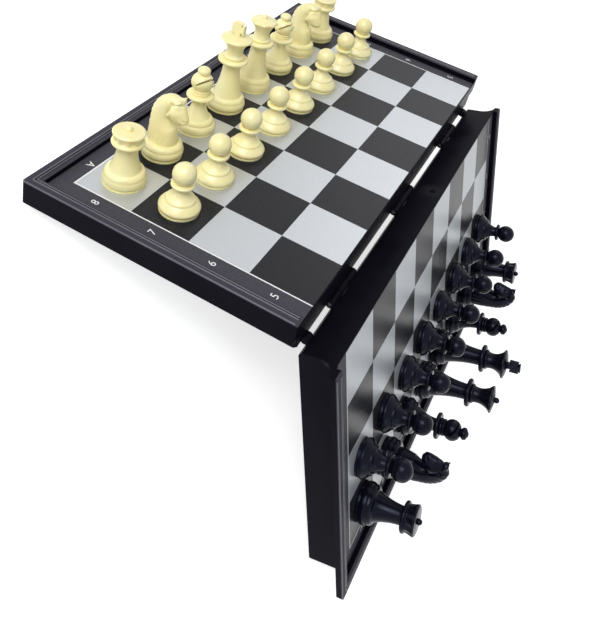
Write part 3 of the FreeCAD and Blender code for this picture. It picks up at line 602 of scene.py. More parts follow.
def turning_tree():
    """Spin an outline in the XZ plane about Z, with optional flutes between two heights."""
    tree, given = new_tree("turned_man", [
        ("Geometry", "Geometry"), ("Segments", "Int", SEGMENTS), ("Flutes", "Int", 0),
        ("Flute Depth", "Float", 0.0), ("Flute From", "Float", 0.0), ("Flute To", "Float", NO_TOP),
        ("Flute Radius", "Float", 1.0)])
    calc, outline = partial(math_node, tree), given["Geometry"]
    count = add_node(tree, "GeometryNodeAttributeDomainSize", "outline", {"Geometry": outline})
    stations = count.outputs["Point Count"]
    grid = add_node(tree, "GeometryNodeMeshGrid", "skin", {
        "Vertices X": calc("ADD", given["Segments"], 1), "Vertices Y": stations})
    index = add_node(tree, "GeometryNodeInputIndex").outputs["Index"]
    along = calc("MODULO", index, stations, "station")
    segment = calc("FLOOR", calc("DIVIDE", index, stations), label="segment")
    turn = calc("DIVIDE", calc("MULTIPLY", segment, math.tau), given["Segments"], "angle")
    position = add_node(tree, "GeometryNodeInputPosition").outputs["Position"]
    sample = add_node(
        tree, "GeometryNodeSampleIndex", "outline point",
        {"Geometry": outline, "Value": position, "Index": along}, data_type="FLOAT_VECTOR")
    parts = add_node(tree, "ShaderNodeSeparateXYZ", "", {"Vector": sample.outputs["Value"]})
    radius, height = parts.outputs["X"], parts.outputs["Z"]
    fluted = calc("SUBTRACT", radius, flute_press(calc, given, turn, radius, height))
    place = add_vector(tree, X=calc("MULTIPLY", fluted, calc("COSINE", turn)),
                       Y=calc("MULTIPLY", fluted, calc("SINE", turn)), Z=height)
    spin = add_node(tree, "GeometryNodeSetPosition", "", {
        "Geometry": grid.outputs["Mesh"], "Position": place})
    weld = add_node(tree, "GeometryNodeMergeByDistance", "", {
        "Geometry": spin.outputs["Geometry"], "Distance": TREE_WELD})
    return close_tree(tree, given, weld.outputs["Geometry"])


TURNING = turning_tree()
print("tree:", TURNING.name, len(TURNING.nodes), "nodes")

# %% Turn the men
# Where a rook's flutes begin above its collar and end below its rim, and a queen's below her rim
ROOK_FLUTES_ABOVE, ROOK_FLUTES_BELOW, QUEEN_FLUTES_BELOW = 0.4, 0.3, 2.0


def run_tree(mesh, tree, values):
    """Pass a mesh through a tree, with its inputs set by their sockets' identifiers."""
    worked = workpiece(mesh)
    modifier = worked.modifiers.new(tree.name, "NODES")
    modifier.node_group = tree
    for item in tree.interface.items_tree:
        if item.item_type == "SOCKET" and item.in_out == "INPUT" and item.name in values:
            modifier[item.identifier] = values[item.name]
    return settled_mesh(worked)


def edge_path(points):
    """A mesh of edges from point to point."""
    path = bpy.data.meshes.new("path")
    path.from_pydata(points, [(number, number + 1) for number in range(len(points) - 1)], [])
    return path


def turned(points, material, **flutes):
    """Spin an outline into a closed mesh, in millimetres."""
    values = {name.replace("_", " "): value for name, value in flutes.items()}
    outline = edge_path([(point.x, 0, point.y) for point in points])
    return turn_outwards(run_tree(outline, TURNING, {"Finish": material, **values}))


plain = {kind: turned(OUTLINES[kind], ivory_men) for kind in ("pawn", "bishop", "king", "knight")}
rook, queen = MEN["rook"], MEN["queen"]
plain["rook"] = turned(
    OUTLINES["rook"], ivory_men, Flutes=rook["flutes"], Flute_Depth=rook["press"],
    Flute_From=rook["collar_at"] + rook["collar_thick"] + ROOK_FLUTES_ABOVE,
    Flute_To=crown_top("rook") - ROOK_FLUTES_BELOW, Flute_Radius=rook["crown"])
plain["queen"] = turned(
    OUTLINES["queen"], ivory_men, Flutes=queen["flutes"], Flute_Depth=queen["flute_depth"],
    Flute_From=crown_top("queen") - QUEEN_FLUTES_BELOW, Flute_Radius=queen["crown"])
print({kind: len(mesh.polygons) for kind, mesh in plain.items()})

# %% [markdown]
# ## The bishop's cut and the king's cross
# A bishop's mitre has one slanting cut. A Boolean with a thin slab makes it, because the cut is a
# clean saw line. The king carries a flared cross: a flat outline given thickness and a small
# bevel, so that its edges catch the light.

# %% Bishop and king
SLOT_WIDTH, SLOT_REACH, SLOT_LENGTH, SLOT_SLANT = 0.9, 9.0, 36.0, math.radians(-45)
SLOT_BELOW_TOP, SLOT_FROM_AXIS = 5.4, 3.8
CROSS_BEVEL, CROSS_BEVEL_STEPS, CROSS_ROOT, CROSS_SPREAD = 0.25, 3, 0.6, 1.4


def slab(length, width, thickness, place):
    """A closed box, for cutting with or as a film of ink."""
    block = bmesh.new()
    bmesh.ops.create_cube(block, size=1)
    block.transform(place @ Matrix.Diagonal((length, width, thickness, 1)))
    return mesh_from(block, "slab")


def cut_bishop(mesh):
    place = Matrix.Translation((SLOT_FROM_AXIS, 0, MEN["bishop"]["height"] - SLOT_BELOW_TOP))
    slanted = place @ Matrix.Rotation(SLOT_SLANT, 4, "Y")
    cutter = workpiece(slab(SLOT_REACH, SLOT_LENGTH, SLOT_WIDTH, slanted))
    worked = workpiece(mesh)
    cut = worked.modifiers.new("slanting_cut", "BOOLEAN")
    cut.operation, cut.object, cut.solver = "DIFFERENCE", cutter, "EXACT"
    result = settled_mesh(worked)
    bpy.data.objects.remove(cutter)
    return turn_outwards(result)


def king_cross(man):
    """The flared cross, seen broad from along the hinge."""
    bar, arm, flare = man["cross_bar"] / 2, man["cross_width"] / 2, man["cross_flare"] / 2
    foot, middle = man["height"] - man["cross_height"] - CROSS_ROOT, man["height"] - arm
    right = [(CROSS_SPREAD * bar, foot), (bar, middle - bar), (arm, middle - flare),
             (arm, middle + flare), (bar, middle + bar), (flare, man["height"])]
    corners = right + [(-x, z) for x, z in reversed(right)]
    block = bmesh.new()
    near = -man["cross_thick"] / 2
    face = block.faces.new([block.verts.new((x, near, z)) for x, z in corners])
    grown = bmesh.ops.extrude_face_region(block, geom=[face])["geom"]
    bmesh.ops.translate(block, vec=(0, man["cross_thick"], 0),
                        verts=[item for item in grown if isinstance(item, bmesh.types.BMVert)])
    bmesh.ops.recalc_face_normals(block, faces=block.faces)
    worked = workpiece(mesh_from(block, "cross"))
    bevel = worked.modifiers.new("soft_edges", "BEVEL")
    bevel.width, bevel.segments, bevel.limit_method = CROSS_BEVEL, CROSS_BEVEL_STEPS, "ANGLE"
    return turn_outwards(settled_mesh(worked))


plain["bishop"] = cut_bishop(plain["bishop"])
plain["king"] = joined([plain["king"], king_cross(MEN["king"])])
print({kind: len(plain[kind].polygons) for kind in ("bishop", "king")})

# %% [markdown]
# ## The horse
# The knight's horse has an arched neck and a bowed head, and no turning gives that. It could be
# sculpted by hand, but a rule can be read and changed. Its side view is drawn as an outline of
# arcs, filled with points, and swelled to both sides like a cushion: a point's thickness grows
# with its distance from the outline, so every section is rounded. The skin is then carved by
# moving its points: mane, locks on the neck, eyes, cheeks, nostrils and the mouth.

# %% Points of the horse's side view
# Counter-clockwise from the back of the root: x towards the hinge, height, swell
HORSE = [(-7.0, 2.6, 0), (6.0, 2.6, 0), (6.3, 9.0, 0.03), (5.2, 15.4, -0.14), (2.6, 20.3, 0.12),
         (4.6, 18.9, 0.1), (8.0, 18.6, 0.42), (10.6, 22.4, -0.05), (8.4, 29.4, 0),
         (8.0, 31.3, 0.12), (5.0, 31.0, 0.06), (1.6, 31.6, 0.34), (-7.3, 19.0, 0.04)]
CUSHION, SPACING = 4.4, 0.5
CUSHION_RINGS, RING_SHARE = 8, 0.97


def sides_of(outline):
    """The sides of a closed outline, each as its two ends."""
    return zip(outline, outline[1:] + outline[:1])


def evenly(points, spacing):
    """A closed outline with no side longer than the spacing."""
    result = []
    for start, stop in sides_of(points):
        steps = max(1, math.ceil((stop - start).length / spacing))
        result += [start.lerp(stop, step / steps) for step in range(steps)]
    return result


def near_line(point, start, stop):
    """The distance of a point from a line's stretch."""
    way = stop - start
    share = max(0.0, min(1.0, (point - start).dot(way) / way.length_squared))
    return (point - start - way * share).length


def depth_inside(point, outline):
    return min(near_line(point, start, stop) for start, stop in sides_of(outline))


def is_within(point, outline):
    """True inside an outline: a line drawn to the right crosses it an odd number of times."""
    crossings = 0
    for start, stop in sides_of(outline):
        if (start.y > point.y) != (stop.y > point.y):
            share = (point.y - start.y) / (stop.y - start.y)
            crossings += point.x < start.x + share * (stop.x - start.x)
    return crossings % 2 == 1


def horse_points(outline):
    """Points inside the outline: rings that follow it, closer near the edge, and a grid within."""
    inside = []
    for ring in range(1, CUSHION_RINGS + 1):
        depth = CUSHION * (1 - math.cos(math.pi / 2 * ring / CUSHION_RINGS))
        for before, point, after in zip(outline[-1:] + outline, outline, outline[1:] + outline[:1]):
            way = (after - before).normalized()
            inner = point + Vector((-way.y, way.x)) * depth
            if depth_inside(inner, outline) > RING_SHARE * depth:
                inside.append(inner)
    spans = [[corner[axis] / SPACING for corner in outline] for axis in (0, 1)]
    columns, rows = (range(math.floor(min(span)), math.ceil(max(span))) for span in spans)
    for column in columns:
        for row in rows:
            inner = Vector((column, row)) * SPACING
            if is_within(inner, outline) and depth_inside(inner, outline) > CUSHION:
                inside.append(inner)
    return inside


side_view = evenly(outline_points(HORSE + HORSE[:1])[:-1], SPACING)
print("horse:", len(side_view), "points round the side view")

# %% The horse's cushion
NECK_HALF, HEAD_HALF, MUZZLE_SHARE = 5.4, 3.5, 0.74
NECK_HEIGHT, HEAD_HEIGHT, MUZZLE_FROM, MUZZLE_TO = 8.0, 27.0, 5.0, 10.0
EAR = dict(x=6.6, z=30.4, side=1.4, lean=0.75, spread=0.25, height=2.8, radius=1.05, tip=0.2)
EAR_SEGMENTS = 24
POINT_GAP = 1e-4


def share_between(value, low, high):
    """0 below low, 1 above high, with soft ends."""
    share = max(0.0, min(1.0, (value - low) / (high - low)))
    return share * share * (3 - 2 * share)


def horse_half(point):
    """The horse's half thickness at a point of its side view."""
    rise = share_between(point.y, NECK_HEIGHT, HEAD_HEIGHT)
    half = NECK_HALF + (HEAD_HALF - NECK_HALF) * rise
    ahead = share_between(point.x, MUZZLE_FROM, MUZZLE_TO) * rise
    return half * (1 + (MUZZLE_SHARE - 1) * ahead)


def horse_blank(outline):
    """Swell the side view to both sides and add the ears."""
    count = len(outline)
    edges = [(number, (number + 1) % count) for number in range(count)]
    points, _, faces, *_ = delaunay_2d_cdt(
        outline + horse_points(outline), edges, [], 1, POINT_GAP)
    shell = bmesh.new()
    for side in (1, -1):
        verts = []
        for point in points:
            depth = min(depth_inside(point, outline), CUSHION)
            half = horse_half(point) * math.sqrt(max(0.0, 1 - (1 - depth / CUSHION) ** 2))
            verts.append(shell.verts.new((point.x, side * half, point.y)))
        for face in faces:
            shell.faces.new([verts[number] for number in face])
    for side in (-1, 1):
        lean = Matrix.Rotation(EAR["lean"], 4, "Y") @ Matrix.Rotation(-side * EAR["spread"], 4, "X")
        place = Matrix.Translation((EAR["x"], side * EAR["side"], EAR["z"])) @ lean
        bmesh.ops.create_cone(shell, cap_ends=True, segments=EAR_SEGMENTS, radius1=EAR["radius"],
                              radius2=EAR["tip"], depth=EAR["height"], matrix=place)
    return turn_outwards(mesh_from(shell, "horse"))


horse = horse_blank(side_view)
print("horse:", len(horse.vertices), "points on the skin")

# %% The horse's carving
# Marks on both flanks: x, height, radius, rise. Cheek, eye socket, eye, nostril, hollow of the jaw
FLANK_MARKS = [(4.8, 24.0, 3.2, 0.9), (7.0, 27.0, 1.7, -1.0), (7.0, 27.0, 0.8, 0.8),
               (9.5, 21.6, 0.85, -0.6), (6.4, 22.2, 1.3, -0.3)]
# Lines on both flanks: ends, width, rise. The mouth, the jaw's edge in two, the brow
FLANK_LINES = [(Vector((9.3, 19.4)), Vector((6.4, 20.4)), 0.45, -0.55),
               (Vector((3.4, 20.4)), Vector((2.3, 24.2)), 0.75, -1.0),
               (Vector((2.3, 24.2)), Vector((3.6, 27.6)), 0.75, -0.9),
               (Vector((3.0, 28.2)), Vector((8.2, 28.7)), 0.6, -0.75)]
FLANK_GAIN, MARK_SHARE = 1.6, 0.7
MANE_CENTRE, MANE_LOCKS, MANE_DEPTH, MANE_SLANT = Vector((1.5, 20.5)), 19, 0.2, 0.9
MANE_FROM, MANE_TO = math.radians(75), math.radians(225)
CREST_FROM, CREST_SPAN = 0.15, 0.4
LOCK_PITCH, LOCK_DEPTH, LOCK_BACK, LOCK_FRONT = 1.3, 0.3, -4.6, 4.4
LOCK_FULL, LOCK_END = 12.0, 18.0


def wave(angle):
    """0 to 1 and back in each full turn."""
    return 0.5 + 0.5 * math.cos(angle)


def flank_rise(spot):
    """Marks, lines and locks of a flank at a point of the side view."""
    rise = 0.0
    for x, z, radius, height in FLANK_MARKS:
        away = (spot - Vector((x, z))).length
        rise += height * math.exp(-(away / (MARK_SHARE * radius)) ** 2)
    for start, stop, width, height in FLANK_LINES:
        rise += height * math.exp(-(near_line(spot, start, stop) / width) ** 2)
    if LOCK_BACK < spot.x < LOCK_FRONT:
        lock = wave(math.tau * spot.x / LOCK_PITCH) ** 2
        rise -= LOCK_DEPTH * lock * (1 - share_between(spot.y, LOCK_FULL, LOCK_END))
    return rise


def mane_rise(vertex, spot):
    """Locks across the crest of the neck, which run out on the flanks."""
    arm = spot - MANE_CENTRE
    angle = math.atan2(arm.y, arm.x) % math.tau
    if not MANE_FROM < angle < MANE_TO:
        return 0.0
    outward = vertex.normal.x * math.cos(angle) + vertex.normal.z * math.sin(angle)
    crest = max(0.0, min(1.0, (outward - CREST_FROM) / CREST_SPAN))
    return -MANE_DEPTH * crest * wave(MANE_LOCKS * angle + MANE_SLANT * abs(vertex.co.y)) ** 3


def carve_horse(mesh):
    """Move the skin's points along their normals into the carving."""
    moves = []
    for vertex in mesh.vertices:
        spot = Vector((vertex.co.x, vertex.co.z))
        flank = min(1.0, abs(vertex.normal.y) * FLANK_GAIN)
        moves.append(vertex.normal * (flank * flank_rise(spot) + mane_rise(vertex, spot)))
    for vertex, move in zip(mesh.vertices, moves):
        vertex.co += move
    return mesh


plain["knight"] = joined([plain["knight"], carve_horse(horse)])
print("knight:", len(plain["knight"].polygons), "faces")

# %% [markdown]
# ## Set up both armies
# Each man's mesh is copied, set on its square with the frame's matrix, and takes the place of its
# CAD node, which stays for the physics. The CAD node's name says the army, the kind and the
# square, so nothing is listed twice. The black men look the other way, which only the knight and
# the bishop show, and the white bishops stand turned a little, as hands leave them.

# %% Place the men
MAN_CLEARANCE = 0.05
TURNS = {"white": 0.0, "black": math.pi}
WHITE_BISHOP_TURN = math.radians(-18)
ARMIES = {"white": ("upper", ivory_men, "ivory_men"), "black": ("lower", black_men, "black_men")}


def man_place(side, kind, square):
    half = ARMIES[side][0]
    spot = Matrix.Translation(
        (rank_centre(int(square[1])), file_centre(square[0]), SURFACE + MAN_CLEARANCE))
    turn = TURNS[side] + (WHITE_BISHOP_TURN if (side, kind) == ("white", "bishop") else 0)
    return PLACES[half] @ spot @ Matrix.Rotation(turn, 4, "Z")


for name in sorted(nodes):
    side, _, rest = name.partition("_")
    kind, _, square = rest.partition("_")
    if kind not in plain:
        continue
    mesh = plain[kind].copy()
    mesh.transform(man_place(side, kind, square))
    _, finish, slot = ARMIES[side]
    add_piece(f"{name}_moulding", mesh, name, finish, replaced=name)

# %% [markdown]
# ## The print
# The charcoal film carries silver squares, a fine white line round the outer sides of the field,
# a dark border outside the line, and the board's letters and numbers. The squares repeat by a
# rule, so Geometry Nodes set out a grid of points, keep every second one and put a thin tile on
# each. Ink has almost no thickness; two hundredths of a millimetre keep it clear of the film.

# %% Printed squares
INK = 0.02
HALF_RANKS = {"upper": (8, 7, 6, 5), "lower": (4, 3, 2, 1)}


def squares_tree():
    """Tiles on every second place of a grid of four ranks and eight files."""
    tree, given = new_tree("printed_squares", [
        ("Ranks", "Int", 4), ("Files", "Int", 8), ("Square", "Float", SQUARE),
        ("Thickness", "Float", INK), ("Odd", "Int", 0)])
    calc, sizes = partial(math_node, tree), {}
    for axis, count in (("X", "Ranks"), ("Y", "Files")):
        sizes[f"Vertices {axis}"] = given[count]
        sizes[f"Size {axis}"] = calc("MULTIPLY", calc("SUBTRACT", given[count], 1), given["Square"])
    grid = add_node(tree, "GeometryNodeMeshGrid", "square centres", sizes)
    index = add_node(tree, "GeometryNodeInputIndex").outputs["Index"]
    rank = calc("FLOOR", calc("DIVIDE", index, given["Files"]))
    file_number = calc("MODULO", index, given["Files"])
    total = calc("ADD", calc("ADD", rank, file_number), given["Odd"])
    light = calc("LESS_THAN", calc("MODULO", total, 2), 0.5, "light squares")
    tile = add_node(tree, "GeometryNodeMeshCube", "tile", {"Size": add_vector(
        tree, X=given["Square"], Y=given["Square"], Z=given["Thickness"])})
    spread = add_node(tree, "GeometryNodeInstanceOnPoints", "", {
        "Points": grid.outputs["Mesh"], "Selection": light, "Instance": tile.outputs["Mesh"]})
    return close_tree(tree, given, spread.outputs["Instances"])


PRINTED_SQUARES = squares_tree()


def print_squares(half):
    """The light squares of one half, from its first rank in x; a8 and every second one is light."""
    ranks = HALF_RANKS[half]
    mesh = run_tree(bpy.data.meshes.new("squares"), PRINTED_SQUARES, {
        "Odd": ranks[0] % 2, "Square": SQUARE, "Thickness": INK, "Finish": silver_ink})
    middle = (rank_centre(ranks[0]) + rank_centre(ranks[-1])) / 2
    mesh.transform(PLACES[half] @ Matrix.Translation((middle, 0, SURFACE + INK / 2)))
    return add_piece(f"{half}_silver_squares", mesh, f"{half}_half", silver_ink)


for half in PLACES:
    print("printed:", print_squares(half).name)

# %% [markdown]
# The line, the letters and the numbers are white ink, and the border is a dark, grained one, half
# as thick. Lines and borders are thin slabs. Letters are text curves, turned into meshes at the
# origin and then set in place, each row to be read by the player on its side.

# %% Printed line, border, letters and numbers
LINE_WIDTH = 0.6
FIELD_EDGE = FIELD_HALF + LINE_WIDTH
BORDER_SIDE, BORDER_END = 118.1, 118.9
LETTER_SIZE = 4.9
NUMBER_AWAY, LETTER_AWAY = 4.7, 3.3


def ink_bar(half, out_from, out_to, y_low, y_high, thickness=INK):
    """A bar of ink between two distances from the hinge and two places along it."""
    x_low, x_high = sorted((OUTWARD[half] * out_from, OUTWARD[half] * out_to))
    middle = ((x_low + x_high) / 2, (y_low + y_high) / 2, SURFACE + thickness / 2)
    return slab(x_high - x_low, y_high - y_low, thickness, Matrix.Translation(middle))


def ink_sign(sign, x, y, quarter_turns):
    """One letter or number, centred on a place of the open board."""
    text = bpy.data.curves.new("sign", "FONT")
    text.body, text.size, text.extrude = sign, LETTER_SIZE, INK / 2
    text.align_x, text.align_y = "CENTER", "CENTER"
    mesh = settled_mesh(workpiece(text))
    place = Matrix.Translation((x, y, SURFACE + INK / 2))
    mesh.transform(place @ Matrix.Rotation(quarter_turns * math.pi / 2, 4, "Z"))
    return mesh


def add_print(half, name, meshes, ink):
    mesh = joined(meshes)
    mesh.transform(PLACES[half])
    return add_piece(f"{half}_{name}", mesh, f"{half}_half", ink)


def print_border(half):
    """The grained dark border outside the line, on both sides and at the end."""
    return add_print(half, "border_print", [
        ink_bar(half, FIELD_START, BORDER_END, -BORDER_SIDE, -FIELD_EDGE, INK / 2),
        ink_bar(half, FIELD_START, BORDER_END, FIELD_EDGE, BORDER_SIDE, INK / 2),
        ink_bar(half, FIELD_END + LINE_WIDTH, BORDER_END, -FIELD_EDGE, FIELD_EDGE, INK / 2),
    ], border_ink)


def print_signs(half):
    """The white print of one half: the field's line, its numbers and one row of letters."""
    outer = OUTWARD[half]
    meshes = [ink_bar(half, FIELD_END, FIELD_END + LINE_WIDTH, -FIELD_EDGE, FIELD_EDGE),
              ink_bar(half, FIELD_START, FIELD_END, -FIELD_EDGE, -FIELD_HALF),
              ink_bar(half, FIELD_START, FIELD_END, FIELD_HALF, FIELD_EDGE)]
    for rank in HALF_RANKS[half]:
        for side in (-1, 1):
            beside = side * (FIELD_HALF + NUMBER_AWAY)
            meshes.append(ink_sign(str(rank), rank_centre(rank), beside, -side))
    for letter in FILES:
        beyond = outer * (FIELD_END + LETTER_AWAY)
        meshes.append(ink_sign(letter.upper(), beyond, file_centre(letter), outer))
    return add_print(half, "white_print", meshes, white_ink)


for half in PLACES:
    print("printed:", print_border(half).name, print_signs(half).name)

# %% [markdown]
# ## The rim
# The rim's top is matt: its grain is rougher than that of the polished sides. Its colour is also
# painted paler than the sides, a painted highlight for the key light that falls on the top faces.
# Height above the hinge, along the half's own normal, tells the two apart, so a mask made from
# the coordinates mixes them. Two fine beads with a dark line between them run along the rim where
# it meets the film, and a third rounds its outer edge. The beads' plastic is painted paler, as a
# painted highlight, and the dark line is a painted shadow for the groove between the two beads.
# They follow a path, so Geometry Nodes sweep a round profile along it.

# %% Rim top: real matt grain and a painted highlight
RIM_TOP, RIM_TOP_FROM, RIM_TOP_FULL = 19.4, 18.5, 18.7
# The rim top's tone is a painted highlight, standing for the key light on the top faces; its
# roughness is real grain
RIM_PAINTED_HIGHLIGHT, RIM_ROUGHNESS = (0.056, 0.054, 0.070, 1), 0.5


def lay_over(tree, shader, target, kind, factor, value):
    """Mix a value over what already drives a socket of the shader."""
    under = shader.inputs[target].links[0].from_socket
    feed(tree, shader, {target: add_mix(tree, "", kind, factor, under, value)})


def copied_plastic(material, name):
    """A copy of a material, with its tree and its shader."""
    copy = material.copy()
    copy.name = name
    return copy, copy.node_tree, copy.node_tree.nodes["Principled BSDF"]


def grained_plastic(half):
    """The case's plastic, matt on the rim's top, where its colour is also painted paler: a painted
    highlight.
    """
    material, tree, shader = copied_plastic(black_case, f"{half}_case_plastic")
    normal = (PLACES[half].to_3x3() @ Vector((0, 0, 1))).normalized()
    low, high = ((PLACES[half] @ Vector((0, 0, level))).dot(normal)
                 for level in (RIM_TOP_FROM, RIM_TOP_FULL))
    height = add_node(tree, "ShaderNodeVectorMath", "height along the normal",
                      {0: object_coordinates(tree), 1: normal}, operation="DOT_PRODUCT")
    mask = add_node(
        tree, "ShaderNodeMapRange", "rim's top",
        {"Value": height.outputs["Value"], "From Min": low, "From Max": high},
        interpolation_type="SMOOTHSTEP").outputs["Result"]
    # Painted highlight: the rim's top takes a paler colour for the light that falls on it; the
    # rougher grain is real
    lay_over(tree, shader, "Base Color", "RGBA", mask, RIM_PAINTED_HIGHLIGHT)
    lay_over(tree, shader, "Roughness", "FLOAT", mask, RIM_ROUGHNESS)
    return material


# The beads' plastic: its colour is painted paler than the case, a painted highlight for the light
# their round tops catch
bead_painted_highlight_plastic = moulded_material(
    "bead_painted_highlight_plastic", 0.3,
    {"Tone": (0.11, 0.11, 0.13, 1), "Deep Tone": (0.13, 0.13, 0.15, 1),
     "Glossy": 0.28, "Dull": 0.4, "Cloud Scale": 45.0, "Grain Scale": 3500.0},
    Specular_IOR_Level=0.3)
CASE_PLASTIC = {half: grained_plastic(half) for half in PLACES}
for half, plastic in CASE_PLASTIC.items():
    paint(nodes[f"{half}_case_shell"].data, plastic)
# grained: the case plastics, with the rim top's real grain and its painted highlight
print("grained:", [plastic.name for plastic in CASE_PLASTIC.values()])

# %% Beads along the rim
OUTER_EDGE, RIM_START = 125.0, 2.0
BEAD_SIDES, BEAD_CORNER, CORNER_STEPS = 12, 0.8, 6
# Each bead's distance from the rim's outer edge, its depth below the rim's top, and its radius
# The shadow line is a dark bead between the two paler ones: a painted shadow for the groove there
BEADS = {"edge_bead": (0.32, 0.32, 0.32, bead_painted_highlight_plastic), "outer_bead": (2.9, 0.12, 0.4, bead_painted_highlight_plastic),
         "inner_bead": (4.05, 0.12, 0.3, bead_painted_highlight_plastic), "shadow_line": (3.5, 0.12, 0.25, black_case)}


def bead_tree():
    """Sweep a round profile along an edge path."""
    tree, given = new_tree("rim_bead", [("Geometry", "Geometry"), ("Radius", "Float", 0.25)])
    path = add_node(tree, "GeometryNodeMeshToCurve", "", {"Mesh": given["Geometry"]})
    profile = add_node(tree, "GeometryNodeCurvePrimitiveCircle", "", {
        "Resolution": BEAD_SIDES, "Radius": given["Radius"]})
    sweep = add_node(tree, "GeometryNodeCurveToMesh", "", {
        "Curve": path.outputs["Curve"], "Profile Curve": profile.outputs["Curve"],
        "Fill Caps": True})
    return close_tree(tree, given, sweep.outputs["Mesh"])


RIM_BEAD = bead_tree()


def rim_path(half, inset, depth):
    """The way round a half's rim, at a distance from its outer edges, with rounded corners."""
    edge = OUTER_EDGE - inset
    way = [(RIM_START, -edge)]
    for step in range(CORNER_STEPS + 1):
        turn = math.pi / 2 * step / CORNER_STEPS
        way.append((edge - BEAD_CORNER * (1 - math.sin(turn)),
                    BEAD_CORNER * (1 - math.cos(turn)) - edge))
    way += [(x, -y) for x, y in reversed(way)]
    return [Vector((OUTWARD[half] * x, y, RIM_TOP - depth)) for x, y in way]


def rim_bead(half, name, inset, depth, radius, material):
    """One bead of a rim, swept in millimetres and then set on its half."""
    path = edge_path(rim_path(half, inset, depth))
    mesh = turn_outwards(run_tree(path, RIM_BEAD, {"Radius": radius, "Finish": material}))
    mesh.transform(PLACES[half])
    return add_piece(f"{half}_{name}", mesh, f"{half}_half", material)


for half in PLACES:
    print("swept:", [rim_bead(half, name, *shape).name for name, shape in BEADS.items()])

# %% [markdown]
# ## The gate mark
# The plastic of the lower half entered its mould through one small gate in the hinge wall. It left
# a low round nub, and round it the plastic froze with a dull, paler bloom. The nub is turned like
# the men. The bloom is a spherical gradient, centred on the gate by a Mapping node, that lifts the
# tone and the roughness of a copy of the case's plastic.

# %% Nub and bloom
HINGE_WALL = 0.7
GATE = Vector((HINGE_WALL, 15.0, 11.1))
GATE_OUTLINE = [(0, -0.3, 0), (2.0, -0.3, 0), (2.0, 0.0, 0.3), (1.0, 0.22, 0), (0.8, 0.22, 0),
                (0.7, 0.5, 0.3), (0, 0.58, 0)]
BLOOM_REACH = 8.0
BLOOM_TONE = (0.020, 0.020, 0.025, 1)
BLOOM_DULLNESS = 0.2


def bloomed_plastic(grained, middle):
    """A case's plastic with a dull bloom round one place, given in metres."""
    # grained: the lower case plastic, with a real grain and a painted highlight on the rim's top
    material, tree, shader = copied_plastic(grained, "lower_case_bloomed")
    reach = BLOOM_REACH * MM
    centred = add_node(tree, "ShaderNodeMapping", "centred on the gate", {
        "Vector": object_coordinates(tree), "Location": -middle / reach,
        "Scale": (1 / reach, 1 / reach, 1 / reach)})
    bloom = add_node(tree, "ShaderNodeTexGradient", "bloom", {"Vector": centred.outputs["Vector"]},
                     gradient_type="SPHERICAL").outputs["Fac"]
    lay_over(tree, shader, "Base Color", "RGBA", bloom, BLOOM_TONE)
    shine = shader.inputs["Roughness"].links[0].from_socket
    duller = math_node(tree, "MULTIPLY", bloom, BLOOM_DULLNESS)
    feed(tree, shader, {"Roughness": math_node(tree, "ADD", shine, duller)})
    return material


out_of_wall = Matrix.Translation(GATE) @ Matrix.Rotation(-math.pi / 2, 4, "Y")
nub = turned(soften(outline_points(GATE_OUTLINE)), black_case)
nub.transform(PLACES["lower"] @ out_of_wall)
add_piece("lower_gate_nub", nub, "lower_half", black_case)
gate_place = PLACES["lower"] @ GATE
paint(nodes["lower_case_shell"].data, bloomed_plastic(CASE_PLASTIC["lower"], gate_place))
print("gate nub at", [round(v, 4) for v in gate_place])

# %% [markdown]
# ## Floor, light and camera
# A plain white floor carries the shadow. It looks white to the camera through Light Path, so the
# lamps can stay at a plain level. A large soft key lights the ivory half, a small lamp near it
# gives glossy men a glint, a cool fill lifts the black men, and a wide disc beyond the far end
# draws the sheen across the silver squares.

# %% Floor and world
FLOOR_SIZE, FLOOR_TONE, FLOOR_GLOW = 6.0, (0.86, 0.86, 0.86, 1), 0.7
FLOOR_ROUGHNESS, FLOOR_SHINE = 0.9, 0.1
WHITE = (1, 1, 1, 1)
ROOM_LIGHT = 0.32


def white_to_camera(tree):
    """1 where a ray comes straight from the camera, a reflection or a clear piece."""
    path = add_node(tree, "ShaderNodeLightPath")
    seen = math_node(tree, "MAXIMUM", path.outputs["Is Camera Ray"], path.outputs["Is Glossy Ray"])
    return math_node(tree, "MAXIMUM", seen, path.outputs["Is Transmission Ray"])


def add_floor():
    block = bmesh.new()
    bmesh.ops.create_grid(block, x_segments=1, y_segments=1, size=FLOOR_SIZE / 2)
    floor = add_object("floor", mesh_from(block, "floor"))
    material, tree, shader = new_material("white_floor")
    feed(tree, shader, {
        "Base Color": FLOOR_TONE, "Roughness": FLOOR_ROUGHNESS, "Specular IOR Level": FLOOR_SHINE,
        "Emission Color": WHITE,
        "Emission Strength": math_node(tree, "MULTIPLY", white_to_camera(tree), FLOOR_GLOW)})
    paint(floor.data, material)


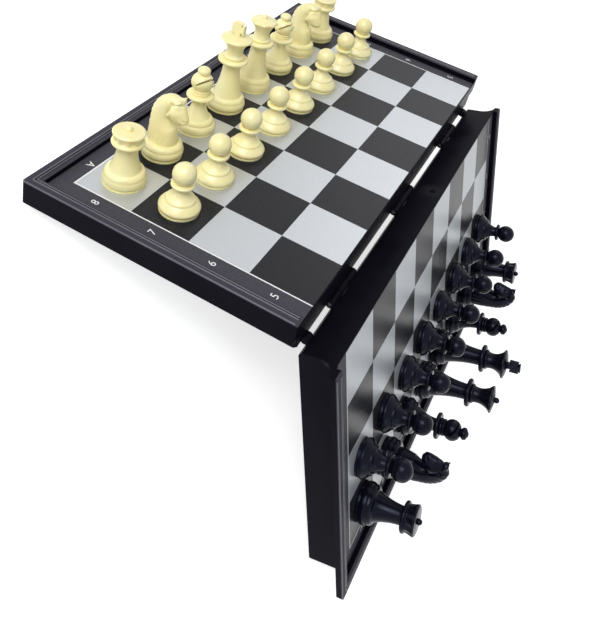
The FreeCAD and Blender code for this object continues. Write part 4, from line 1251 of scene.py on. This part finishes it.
def add_world():
    world = bpy.data.worlds.new("studio")
    bpy.context.scene.world = world
    world.use_nodes = True
    tree = world.node_tree
    level = add_node(tree, "ShaderNodeMapRange", "room light, or white", {
        "Value": white_to_camera(tree), "To Min": ROOM_LIGHT, "To Max": 1.0})
    feed(tree, tree.nodes["Background"], {"Color": WHITE, "Strength": level.outputs["Result"]})


add_floor()
add_world()
print("floor and world, room light", ROOM_LIGHT)

# %% Lamps
ABOVE_RIDGE = Vector((0, 0, 0.06))
NEUTRAL, COOL = (1, 1, 1), (0.60, 0.80, 1.0)
# Each lamp's place, its size, its power in watts and its colour
LAMPS = {
    "key": ((-0.72, -0.72, 0.88), 0.9, 10.9, NEUTRAL),
    "sparkle": ((-0.55, -0.75, 0.9), 0.16, 1.2, NEUTRAL),
    "fill": ((0.9, -0.7, 0.6), 0.4, 0.85, COOL),
    "sheen": ((-0.45, 0.95, 0.65), 0.6, 0.9, NEUTRAL)}
for name, (place, size, power, colour) in LAMPS.items():
    lamp = bpy.data.lights.new(name, "AREA")
    lamp.shape, lamp.size, lamp.energy, lamp.color = "DISK", size, power, colour
    holder = add_object(name, lamp)
    holder.location = place
    holder.rotation_euler = (ABOVE_RIDGE - Vector(place)).to_track_quat("-Z", "Y").to_euler()
print("lamps:", ", ".join(LAMPS))

# %% Camera
VIEW_FROM = Vector((-0.09680, -0.31967, 0.27885))
VIEW_TO = Vector((-0.05654, -0.04002, 0.07227))
VIEW_ROLL = math.radians(59.61)
LENS, SHIFT_UP, NEAREST = 45.0, -0.2788, 0.01

eye = bpy.data.cameras.new("camera")
eye.lens, eye.shift_y, eye.clip_start = LENS, SHIFT_UP, NEAREST
camera = add_object("camera", eye)
upright = (VIEW_TO - VIEW_FROM).to_track_quat("-Z", "Y").to_matrix().to_4x4()
camera.matrix_world = Matrix.Translation(VIEW_FROM) @ upright @ Matrix.Rotation(VIEW_ROLL, 4, "Z")
bpy.context.scene.camera = camera
bpy.context.scene.view_settings.view_transform = "Standard"
print("camera at", VIEW_FROM[:])
